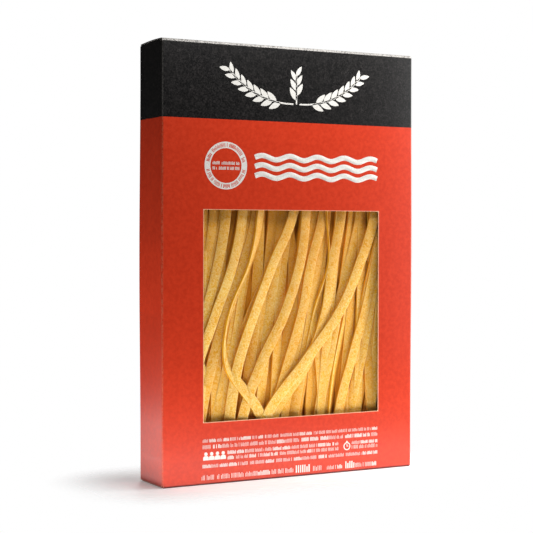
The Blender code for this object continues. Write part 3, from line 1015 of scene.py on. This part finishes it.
def make_pasta_material():
    material, tree, place = start_material("dry_pasta")
    own = tree.node("ShaderNodeAttribute", {"attribute_name": "own"}, output="Fac")
    cut = tree.node("ShaderNodeAttribute", {"attribute_name": "cut_side"}, output="Fac")
    _, depth, height = tree.parts(place)
    place = tree.vector("ADD", place, tree.whole(own * 37.0, own * 11.0))
    # Painted shade that grows towards the back of the bundle; it also fades the pale worms there.
    deep_shade = tree.rise(depth, DEEP_SHADE_FROM, DEEP_SHADE_TO)
    side = tree.rise(cut, 0.45, 0.95)
    # The pale lip along each edge is partly the paler edge of the dough and partly a painted
    # highlight.
    pale_lip_and_highlight = tree.rise(cut, 0.02, 0.3) * (1 - side)
    cloud = noise(tree, place, 7.0, detail=2.0)
    clouded = tree.rise(cloud, 0.3, 0.7)
    crossing = abs(noise(tree, place, 2.1, detail=2.0, roughness=0.6, distortion=0.9) - 0.5)
    worms = 1 - tree.rise(crossing, 0.02, 0.12)
    specks = tree.rise(noise(tree, place, 1.1, detail=3.0, roughness=0.7), 0.48, 0.66)
    face = tree.mix(paint(235, 168, 42), paint(243, 184, 58), clouded)
    face = tree.mix(face, paint(252, 229, 158), (worms + specks) * (0.41 - deep_shade * 0.2))
    face = tree.mix(face, paint(255, 234, 172), pale_lip_and_highlight * 0.75)
    body = tree.mix(paint(234, 166, 28), paint(244, 184, 42), clouded)
    base = tree.mix(face, body, side)
    base = tree.mix(base, paint(218, 138, 34), (1 - own) * 0.26)
    # Painted shade: amber towards the back of the bundle.
    base = tree.mix(base, paint(214, 132, 12), deep_shade * 0.85)
    # Painted shade: the ribbons turn browner towards the window's top.
    high = tree.rise(height, TOP_SHADE_FROM, TOP_SHADE_TO)
    base = tree.mix(base, paint(196, 124, 30), high * 0.45)
    finish_material(tree, {"Base Color": base, "Roughness": 0.62 - side * 0.2 + specks * 0.1,
                           "Subsurface Weight": 0.15, "Subsurface Radius": (1.0, 0.85, 0.45),
                           "Subsurface Scale": 0.0012, "Specular IOR Level": 0.14},
                    bump=(worms + specks) * (1 - side) + cloud * 0.3, strength=0.6, distance=0.06)
    return material


dry_pasta = make_pasta_material()
print("pasta material made")

# %% [markdown]
# The lines of both kinds of ribbon go through the same tree. The plain ones get a point every
# few millimetres, and the ones behind get fewer. Their ends lie at slightly uneven heights.

# %% Make the ribbons
END_SPREAD = 8.0


def draw_lines(name, ribbons, steps, seed):
    """The ribbons' middle lines as edges, with the attributes that the tree reads."""
    chance = random.Random(seed)
    paths, facing, own = [], [], []
    for xs, depth, twist in ribbons:
        bottom = PASTA_BOTTOM + chance.uniform(0.0, END_SPREAD)
        top = PASTA_TOP - chance.uniform(0.0, END_SPREAD)
        tint = chance.random()
        paths.append([])
        for height in spread(bottom, top, steps):
            middle, out = ribbon_point(xs, depth, twist, height)
            paths[-1].append(middle)
            facing += list(out)
            own.append(tint)
    return draw_edges(name, paths, {"facing": ("FLOAT_VECTOR", "vector", facing),
                                    "own": ("FLOAT", "value", own)})


ribbon_tree = make_ribbon_tree(dry_pasta)
ribbon_sizes = {"Width": RIBBON_WIDTH * MM, "Thickness": RIBBON_THICKNESS * MM,
                "Edge": RIBBON_EDGE * MM, "Wave": 0.9 * MM, "Wave length": 26 * MM}
front_ribbons = draw_lines("ribbons_in_front", PLAIN_RIBBONS, 70, seed=5)
grow(front_ribbons, ribbon_tree, ribbon_sizes)
soften(front_ribbons, 50)
fill = fill_ribbons(seed=21, layers=3, columns=24, front=-10.0, back=-7.0)
back_ribbons = draw_lines("ribbons_behind", fill, 36, seed=6)
grow(back_ribbons, ribbon_tree, ribbon_sizes)
soften(back_ribbons, 50)
frontmost = min(vert.co.y for vert in front_ribbons.data.vertices) / MM
print("ribbons come forward to", round(frontmost, 2), "mm; the film's back is at",
      round(FILM_FRONT + FILM_THICKNESS, 2))

# %% [markdown]
# The middle of the bundle never shows. A slab with upright ridges closes it, in the same
# material, so that no light leaks through from behind.

# %% The core of the bundle
CORE_HALF, CORE_FRONT, CORE_BACK, CORE_CORNER = 76.0, -6.0, 13.3, 5.0
CORE_STEPS, CORE_INSET, RIDGE = 156, 2.0, 1.1


def build_core():
    builder = bmesh.new()
    loops = []
    for z in (PASTA_BOTTOM + CORE_INSET, PASTA_TOP - CORE_INSET):
        ring = []
        for x in spread(-CORE_HALF, CORE_HALF, CORE_STEPS):
            edge = max(abs(x) - (CORE_HALF - CORE_CORNER), 0.0) / CORE_CORNER
            rounding = CORE_CORNER * (1 - math.sqrt(max(1 - edge ** 2, 0.0)))
            ridge = RIDGE * abs(math.sin(x * math.pi / RIBBON_WIDTH)) * (1 - edge)
            ring.append((x, CORE_FRONT + rounding - ridge))
        for side, start in ((1, 0), (-1, 90)):
            centre = (side * (CORE_HALF - CORE_CORNER), CORE_BACK - CORE_CORNER)
            ring += arc(centre, CORE_CORNER, start, start + 90)
        loops.append([builder.verts.new((x, y, z)) for x, y in ring])
    low, high = loops
    for i in range(len(low)):
        j = (i + 1) % len(low)
        builder.faces.new((low[i], low[j], high[j], high[i]))
    builder.faces.new(low[::-1])
    builder.faces.new(high)
    return builder


core = make_piece("bundle_core", build_core(), [dry_pasta])
soften(core, 50)
hand_over(core, "pasta")
hand_over(back_ribbons, "pasta")
hand_over(front_ribbons, "pasta", "pasta")

# %% [markdown]
# ## Pale ink
#
# The carton's print in pale ink becomes plain shapes of the same size and weight: sprigs of
# grain in the black band, a round badge and a wavy band of lines on the red, and rows of
# small marks where small print would be. Each is a closed sheet a few hundredths of a
# millimetre thick that lies on the board, so it catches light as ink does and stays visible
# in the exported mesh.


# %% Ink material
def make_ink():
    material, tree, place = start_material("pale_ink")
    soak = noise(tree, place, 0.8, detail=4.0, roughness=0.7)
    base = tree.mix(paint(200, 196, 188), paint(214, 212, 206), tree.rise(soak, 0.3, 0.65))
    finish_material(tree, {"Base Color": base, "Roughness": 0.5 + soak * 0.2},
                    bump=soak, strength=0.2, distance=0.01)
    return material


pale_ink = make_ink()
INK_FRONT = FRONT - INK_HEIGHT
INK_BACK = FRONT + 0.004
INK_MIDDLE = (INK_FRONT + INK_BACK) / 2
INK_THICKNESS = INK_BACK - INK_FRONT


def draw_paths(name, paths):
    """Bare edges on the front panel. A path is a list of (x, z, width share)."""
    widths = [width for path in paths for _, _, width in path]
    points = [[(x, INK_MIDDLE, z) for x, z, _ in path] for path in paths]
    return draw_edges(name, points, {"width": ("FLOAT", "value", widths)})


print("ink is", round(INK_THICKNESS, 3), "mm thick")

# %% [markdown]
# Three short trees do the printing. The first draws strokes: it sweeps a flat bar along a
# path, as wide as the path's attribute says. The second sets grains along a stem, left and
# right in turn. The third sets rows of small upright marks in groups, some of them bolder, so
# that a row has the texture of small print from a distance and spells nothing.

# %% Trees for ink
LEFT_OUT, BOLD_SHARE, LOW_SHARE = 0.5, 0.4, 0.3


def flat_angle(tree):
    """The angle of a path's direction on the front panel, from upright towards the right."""
    along, _, upward = tree.parts(tree.node("GeometryNodeInputTangent"))
    return tree.maths("ARCTAN2", along, upward)


def make_stroke_tree():
    tree, start, size = start_geometry("ink_strokes", {"Width": 0.001, "Thickness": 0.00003})
    lines = curves_facing(tree, start, (0.0, -1.0, 0.0))
    lines = tree.node("GeometryNodeSetCurveRadius", None,
                      {"Curve": lines, "Radius": read_attribute(tree, "width")})
    return sweep(tree, lines, bar_profile(tree, size), pale_ink)


def make_sprig_tree():
    tree, start, size = start_geometry("ink_sprigs", {"Grain": None, "Grains": 12, "Spread": 0.5})
    lines = tree.node("GeometryNodeMeshToCurve", None, {"Mesh": start})
    points = tree.node("GeometryNodeResampleCurve", None, {"Curve": lines, "Count": size["Grains"]})
    turn = tree.maths("MODULO", tree.node("GeometryNodeInputIndex"), 2.0) * 2 - 1
    angle = flat_angle(tree) + turn * size["Spread"]
    grain = tree.node("GeometryNodeObjectInfo", None, {"Object": size["Grain"]}, output="Geometry")
    big = read_attribute(tree, "width")
    grains = tree.node("GeometryNodeInstanceOnPoints", None,
                       {"Points": points, "Instance": grain, "Rotation": tree.whole(y=angle),
                        "Scale": tree.whole(big, 1.0, big)})
    return end_geometry(tree, grains, pale_ink)


def make_mark_tree(name, material):
    tree, start, size = start_geometry(name, {
        "Pitch": 0.001, "Mark width": 0.0006, "Mark height": 0.0013, "Change": 0.3,
        "Gaps": 0.1, "Group": 9.0, "Bold": 0.5, "Thickness": 0.00003, "Seed": 1})
    lines = tree.node("GeometryNodeMeshToCurve", None, {"Mesh": start})
    points = tree.node("GeometryNodeResampleCurve", {"mode": "LENGTH"},
                       {"Curve": lines, "Length": size["Pitch"]})
    index = tree.node("GeometryNodeInputIndex")
    group = tree.maths("FLOOR", index / size["Group"])

    def chance(step, which):
        """A random share of its own for each mark, or for each group of marks."""
        return tree.node("FunctionNodeRandomValue", {"data_type": "FLOAT"},
                         {"Seed": size["Seed"] + step, "ID": which}, output=1)

    uneven = index + tree.maths("ROUND", chance(0, group) * 2)
    in_group = tree.maths("MODULO", uneven, size["Group"])
    kept = (in_group > LEFT_OUT) * (chance(1, index) > size["Gaps"])
    bold = 1 + (chance(2, group) > 1 - BOLD_SHARE) * size["Bold"]
    change = size["Change"]
    big = read_attribute(tree, "width")
    wide = (1 + (chance(3, index) - 0.5) * change) * size["Mark width"] * big * bold
    tall = (1 - (chance(4, index) > 1 - LOW_SHARE) * change) * size["Mark height"] * big
    scale = tree.whole(wide, size["Thickness"], tall)
    mark = tree.node("GeometryNodeMeshCube", None, {"Size": (1.0, 1.0, 1.0)})
    mark = tree.node("GeometryNodeTransform", None, {"Geometry": mark, "Translation": (0, 0, 0.5)})
    marks = tree.node("GeometryNodeInstanceOnPoints", None,
                      {"Points": points, "Selection": kept, "Instance": mark,
                       "Rotation": tree.whole(y=flat_angle(tree) - math.pi / 2), "Scale": scale})
    return end_geometry(tree, marks, material)


stroke_tree, sprig_tree = make_stroke_tree(), make_sprig_tree()
mark_tree = make_mark_tree("pale_marks", pale_ink)
red_mark_tree = make_mark_tree("red_marks", red_print)
print("trees for strokes, sprigs and marks are written")

# %% [markdown]
# The band holds three sprigs of grain: two long ones that lean outwards and a short upright
# one between them. A grain is a pointed oval, drawn once at the origin.

# %% Sprigs of grain in the band
BAND_MIDDLE, SPRIG_FOOT = 2.1, 208.6
UPRIGHT_PULL, UPRIGHT_TOP = 215.0, 224.5
LEANING_STEM = ((2.0, SPRIG_FOOT), (26.0, 208.2), (42.0, 225.5))
GRAIN_LENGTH, GRAIN_WIDTH = 8.4, 3.3
EAR_START = 0.18


def bend(start, pull, end, steps, first, widths):
    """A bent path from start to end, drawn towards pull, with a width that changes evenly."""
    path = []
    for share in spread(first, 1.0, steps):
        x, z = ((1 - share) ** 2 * s + 2 * share * (1 - share) * p + share ** 2 * e
                for s, p, e in zip(start, pull, end))
        path.append((x, z, widths[0] + (widths[1] - widths[0]) * share))
    return path


def grain_outline():
    """A grain that stands on its point: broad in its lower half, drawn out above."""
    right = []
    for share in spread(0.0, 1.0, 10)[1:-1]:
        half = GRAIN_WIDTH / 2 * math.sin(math.pi * share ** 0.8) ** 0.75
        right.append((half, GRAIN_LENGTH * share))
    return [(0.0, 0.0)] + right + [(0.0, GRAIN_LENGTH)] + [(-x, z) for x, z in right[::-1]]


def grain_object():
    builder = bmesh.new()
    add_slab(builder, grain_outline(), -INK_THICKNESS / 2, INK_THICKNESS / 2)
    return make_piece("grain", builder, [pale_ink])


def join(name, pieces):
    """Several pieces as one mesh object. Each piece has one ink, and keeps it."""
    builder = bmesh.new()
    inks = []
    for piece in pieces:
        ink = next(material for material in piece.data.materials if material)
        if ink not in inks:
            inks.append(ink)
        start = len(builder.faces)
        builder.from_mesh(piece.data)
        builder.faces.ensure_lookup_table()
        for face in builder.faces[start:]:
            face.material_index = inks.index(ink)
        bpy.data.objects.remove(piece)
    for vert in builder.verts:
        vert.co /= MM
    return make_piece(name, builder, inks)


def sprig_paths(first, widths):
    """The band's three stems, from the given share of their length upwards."""
    upright = [(BAND_MIDDLE, z) for z in (SPRIG_FOOT, UPRIGHT_PULL, UPRIGHT_TOP)]
    paths = [bend(*upright, 12, first, widths)]
    for side in (-1, 1):
        leaning = [(BAND_MIDDLE + side * x, z) for x, z in LEANING_STEM]
        paths.append(bend(*leaning, 24, first, widths))
    return paths


grain = grain_object()
stems = draw_paths("stems", sprig_paths(0.0, (1.2, 0.8)))
grow(stems, stroke_tree, {"Width": 0.9 * MM, "Thickness": INK_THICKNESS * MM})
upright, *leaning = sprig_paths(EAR_START, (1.0, 0.75))
short_ear = draw_paths("short_ear", [upright])
grow(short_ear, sprig_tree, {"Grain": grain, "Grains": 6, "Spread": 0.55})
long_ears = draw_paths("long_ears", leaning)
grow(long_ears, sprig_tree, {"Grain": grain, "Grains": 15, "Spread": 0.6})
sprigs = join("ink_sprigs", [stems, short_ear, long_ears])
hand_over(sprigs, "carton_board")

# %% [markdown]
# The badge on the red is a pale ring with red marks on it, in two arcs, and two short rows of
# pale marks in its middle. Its ring lies a hair deeper than the red marks, so that they show.
# Three wavy lines beside it stand for the ribbons inside.

# %% Badge and waves
BADGE = (-42.0, 173.4)
BADGE_RADIUS, BADGE_BAND = 13.0, 3.5
BADGE_STEP, BADGE_ARC = 0.012, 168
BADGE_MARK_FOOT, BADGE_ROW_HALF, BADGE_ROW_FEET = 0.7, 8.0, (0.5, -2.3)


def add_ring(builder, centre, inner, outer, steps=72, front=INK_FRONT):
    """A flat closed ring that faces the front."""
    loops = []
    for radius, y in ((outer, front), (inner, front), (inner, INK_BACK), (outer, INK_BACK)):
        circle = arc(centre, radius, 0, 360, steps)[:-1]
        loops.append([builder.verts.new((x, y, z)) for x, z in circle])
    for loop, following in zip(loops, loops[1:] + loops[:1]):
        for i in range(steps):
            j = (i + 1) % steps
            builder.faces.new((loop[j], following[j], following[i], loop[i]))


def print_marks(name, paths, tree, pitch, width, height, gaps, group, bold, seed):
    """Small marks along paths, with sizes in millimetres."""
    marks = draw_paths(name, paths)
    return grow(marks, tree, {"Pitch": pitch * MM, "Mark width": width * MM,
                              "Mark height": height * MM, "Change": 0.25, "Gaps": gaps,
                              "Group": group, "Bold": bold, "Seed": seed,
                              "Thickness": INK_THICKNESS * MM})


ring_builder = bmesh.new()
ring_inside = BADGE_RADIUS - BADGE_BAND
add_ring(ring_builder, BADGE, ring_inside, BADGE_RADIUS, front=INK_FRONT + BADGE_STEP)
ring = make_piece("badge_ring", ring_builder, [pale_ink])
arcs = [[(x, z, 1.0) for x, z in arc(BADGE, ring_inside + BADGE_MARK_FOOT, high, low, 60)]
        for high, low in ((BADGE_ARC, 180 - BADGE_ARC), (180 + BADGE_ARC, 360 - BADGE_ARC))]
ring_marks = print_marks("badge_band_marks", arcs, red_mark_tree, pitch=0.62, width=0.34,
                         height=2.1, gaps=0.04, group=8.0, bold=0.3, seed=4)
rows = [[(BADGE[0] + x, BADGE[1] + foot, 1.0) for x in (-BADGE_ROW_HALF, BADGE_ROW_HALF)]
        for foot in BADGE_ROW_FEET]
badge_rows = print_marks("badge_rows", rows, mark_tree, pitch=0.55, width=0.27,
                         height=1.7, gaps=0.04, group=9.0, bold=0.2, seed=9)
badge = join("ink_badge", [ring, badge_rows, ring_marks])
hand_over(badge, "carton_board")

WAVE_LEFT, WAVE_RIGHT, WAVE_HEIGHTS = -24.1, 55.8, (168.2, 173.3, 178.4)
WAVE_RISE, WAVE_BENDS, WAVE_END, WAVE_STROKE = 1.1, 9, 0.06, 2.9
waves = []
for z in WAVE_HEIGHTS:
    path = []
    for share in spread(0.0, 1.0, 90):
        ends = smooth_step(0.0, WAVE_END, share) * smooth_step(0.0, WAVE_END, 1 - share)
        path.append((WAVE_LEFT + (WAVE_RIGHT - WAVE_LEFT) * share,
                     z + WAVE_RISE * math.sin(share * math.pi * WAVE_BENDS), 0.25 + 0.75 * ends))
    waves.append(path)
wave_lines = draw_paths("ink_waves", waves)
grow(wave_lines, stroke_tree, {"Width": WAVE_STROKE * MM, "Thickness": INK_THICKNESS * MM})
hand_over(wave_lines, "carton_board")
bpy.data.objects.remove(grain)

# %% [markdown]
# Small print comes last. Each row is one straight path: its left and right end, its foot and
# the height of its marks. The marks' width and pitch follow from their height.

# %% Rows of small marks
PRINT_ROWS = (
    (-55.9, 56.3, 23.0, 1.8), (-55.9, 56.3, 19.5, 2.1),
    (-40.7, 29.9, 15.8, 1.9), (39.3, 56.4, 15.7, 1.8),
    (-40.7, 29.9, 12.9, 1.9), (39.3, 56.4, 13.0, 2.1),
    (-56.5, 56.4, 9.1, 1.9),
    (-56.5, 0.3, 2.6, 2.6), (2.5, 12.2, 2.1, 4.2), (13.6, 18.6, 2.3, 2.8),
    (22.0, 32.4, 2.4, 2.2), (33.9, 40.6, 2.1, 4.0), (41.8, 55.6, 2.3, 2.4),
)
rows_made = []
for number, (left, right, foot, height) in enumerate(PRINT_ROWS):
    path = [(left, foot, 1.0), (right, foot, 1.0)]
    rows_made.append(print_marks("row_%d" % number, [path], mark_tree, pitch=0.3 * height,
                                 width=0.105 * height, height=height, gaps=0.06,
                                 group=8.0 + number % 4, bold=0.75, seed=10 * number + 3))
small_print = join("ink_small_rows", rows_made)
hand_over(small_print, "carton_board")

# %% [markdown]
# Four plain figures and a clock face stand among the rows. They are too few to be worth a
# tree, so each outline simply becomes a thin slab, as the film did.

# %% Signs
FIGURES_LEFT, FIGURE_PITCH, FIGURE_FOOT = -54.1, 3.5, 13.3
BODY_WIDTH, BODY_HEIGHT, SHOULDER = 3.36, 2.3, 1.1
HEAD_RADIUS, HEAD_RISE = 1.0, 3.4
CLOCK = (35.9, 14.8)
CLOCK_INNER, CLOCK_OUTER = 1.7, 2.3
# The clock's knob and two hands, each as left, right, low and high from its middle.
CLOCK_BARS = ((-0.5, 0.5, 2.35, 3.0), (-0.22, 0.22, -0.22, 1.2), (0.3, 1.0, -0.22, 0.22))
BAR_CORNER = 0.15


def body_outline(x, foot):
    """Round shoulders on square feet, anticlockwise from the lower right."""
    side, top = BODY_WIDTH / 2, foot + BODY_HEIGHT
    shoulders = arc((x + side - SHOULDER, top - SHOULDER), SHOULDER, 0, 90)
    shoulders += arc((x - side + SHOULDER, top - SHOULDER), SHOULDER, 90, 180)
    return [(x - side, foot), (x + side, foot)] + shoulders


sign_builder = bmesh.new()
outlines = []
for number in range(4):
    x = FIGURES_LEFT + FIGURE_PITCH * number
    outlines.append(arc((x, FIGURE_FOOT + HEAD_RISE), HEAD_RADIUS, 0, 345, 23))
    outlines.append(body_outline(x, FIGURE_FOOT))
for left, right, low, high in CLOCK_BARS:
    outlines.append(rounded_outline(CLOCK[0] + left, CLOCK[0] + right, CLOCK[1] + low,
                                    CLOCK[1] + high, BAR_CORNER, 2))
for outline in outlines:
    add_slab(sign_builder, outline, INK_FRONT, INK_BACK)
add_ring(sign_builder, CLOCK, CLOCK_INNER, CLOCK_OUTER, 36)
signs = make_piece("ink_signs", sign_builder, [pale_ink])
hand_over(signs, "carton_board")

# %% [markdown]
# ## Floor, light and camera
#
# The studio is white. The floor is a white disc that fades out with distance from the
# carton's foot, so that it gives the shadow there and then becomes the white background.
# Two softboxes stand on the right and a strip hangs in front above, which is why the right
# of the front is brighter than the left. A softbox behind lights what only other views show.
# A white table throws much light back up. Flat lights that lie on the floor and face upwards
# stand for that, and they let the lower part of the carton glow.

# %% Floor
FLOOR_RADIUS, FLOOR_FADE, FLOOR_GLOW = 220.0, 54.0, 0.26


def make_floor_material():
    material, tree, place = start_material("white_floor")
    beside = tree.vector("ABSOLUTE", place)
    beside = tree.vector("SUBTRACT", beside, (WIDTH / 2, DEPTH / 2, 0.0))
    beside = tree.vector("MAXIMUM", beside, (0.0, 0.0, 0.0))
    away = tree.vector("LENGTH", beside, output="Value")
    dust = noise(tree, place, 30.0, detail=2.0)
    base = tree.mix(paint(246, 246, 245), paint(250, 250, 249), dust)
    finish_material(tree, {"Base Color": base, "Roughness": 0.6,
                           "Emission Color": (1.0, 1.0, 1.0), "Emission Strength": FLOOR_GLOW,
                           "Alpha": 1 - tree.rise(away, 0.0, FLOOR_FADE)})
    return material


floor_builder = bmesh.new()
bmesh.ops.create_circle(floor_builder, cap_ends=True, segments=96, radius=FLOOR_RADIUS)
floor = make_piece("floor", floor_builder, [make_floor_material()])
print("floor faces up:", floor.data.polygons[0].normal.z > 0)


# %% Lights
TABLE_LIFT = 0.0004
ROOM_LIGHT = 0.03


def soft_light(name, place, aim, width, height, power):
    """A rectangular light in metres and watts, turned from its place towards its aim."""
    lamp = bpy.data.lights.new(name, "AREA")
    lamp.shape = "RECTANGLE"
    lamp.size, lamp.size_y = width, height
    lamp.energy = power
    holder = put_in_scene(name, lamp)
    holder.location = place
    holder.rotation_euler = (Vector(aim) - Vector(place)).to_track_quat("-Z", "Y").to_euler()
    holder.visible_camera = False
    return holder


def table_glow(name, centre, width, depth, power):
    """Light that comes straight up from a strip of the table."""
    x, y = centre
    glow = soft_light(name, (x, y, TABLE_LIFT), (x, y, 1.0), width, depth, power)
    glow.rotation_euler = (math.pi, 0.0, 0.0)


soft_light("softbox_right", (0.19, -0.08, 0.17), (0.0, -0.015, 0.13), 0.08, 0.30, 0.49)
soft_light("softbox_low", (0.24, -0.06, 0.07), (0.0, -0.015, 0.08), 0.10, 0.12, 0.25)
soft_light("strip_above", (0.02, -0.10, 0.31), (0.02, -0.015, 0.20), 0.20, 0.06, 0.33)
soft_light("softbox_behind", (0.30, 0.55, 0.18), (0.0, 0.015, 0.12), 0.3, 0.3, 1.3)
table_glow("glow_near", (0.0, -0.046), 0.30, 0.06, 0.11)
table_glow("glow_before", (0.0, -0.10), 0.36, 0.10, 0.30)
table_glow("glow_left", (-0.125, 0.02), 0.08, 0.3, 0.09)
table_glow("glow_further_left", (-0.18, 0.05), 0.10, 0.3, 0.32)
table_glow("glow_far_left", (-0.25, 0.1), 0.16, 0.4, 0.40)


def make_world():
    """White to the camera, and a dim room to everything else."""
    world = bpy.data.worlds.new("studio")
    world.use_nodes = True
    world.node_tree.nodes.clear()
    tree = Tree(world.node_tree)
    seen = tree.node("ShaderNodeLightPath", output="Is Camera Ray")
    light = tree.node("ShaderNodeBackground", None,
                      {"Color": (1.0, 1.0, 1.0), "Strength": ROOM_LIGHT + seen * (1 - ROOM_LIGHT)})
    tree.node("ShaderNodeOutputWorld", None, {"Surface": light})
    bpy.context.scene.world = world


make_world()
bpy.context.scene.view_settings.view_transform = "Standard"

# %% [markdown]
# The camera was worked out from the corners of the carton in the photograph: a long lens,
# a little above the middle of the carton, looking at the front from its left.

# %% Camera
SENSOR_WIDTH, FOCAL_LENGTH = 36.0, 95.82
CAMERA_PLACE = (-0.3938, -0.7036, 0.13502)
# Turns in radians about Z, then X, then Y: to the right, down, and a hair of roll.
CAMERA_TURNS = (("Z", -0.5009), ("X", -0.0214), ("Y", -0.0014))

lens = bpy.data.cameras.new("camera")
lens.sensor_width = SENSOR_WIDTH
lens.lens = FOCAL_LENGTH
lens.clip_start, lens.clip_end = 0.05, 20.0
camera = put_in_scene("camera", lens)
turn = Matrix.Identity(3)
for axis, angle in CAMERA_TURNS:
    turn = turn @ Matrix.Rotation(angle, 3, axis)
right, forward, up = turn.col[0].copy(), turn.col[1].copy(), turn.col[2].copy()
axes = Matrix((right, up, -forward)).transposed().to_4x4()
camera.matrix_world = Matrix.Translation(CAMERA_PLACE) @ axes
bpy.context.scene.camera = camera
print("camera looks along", [round(value, 3) for value in forward])
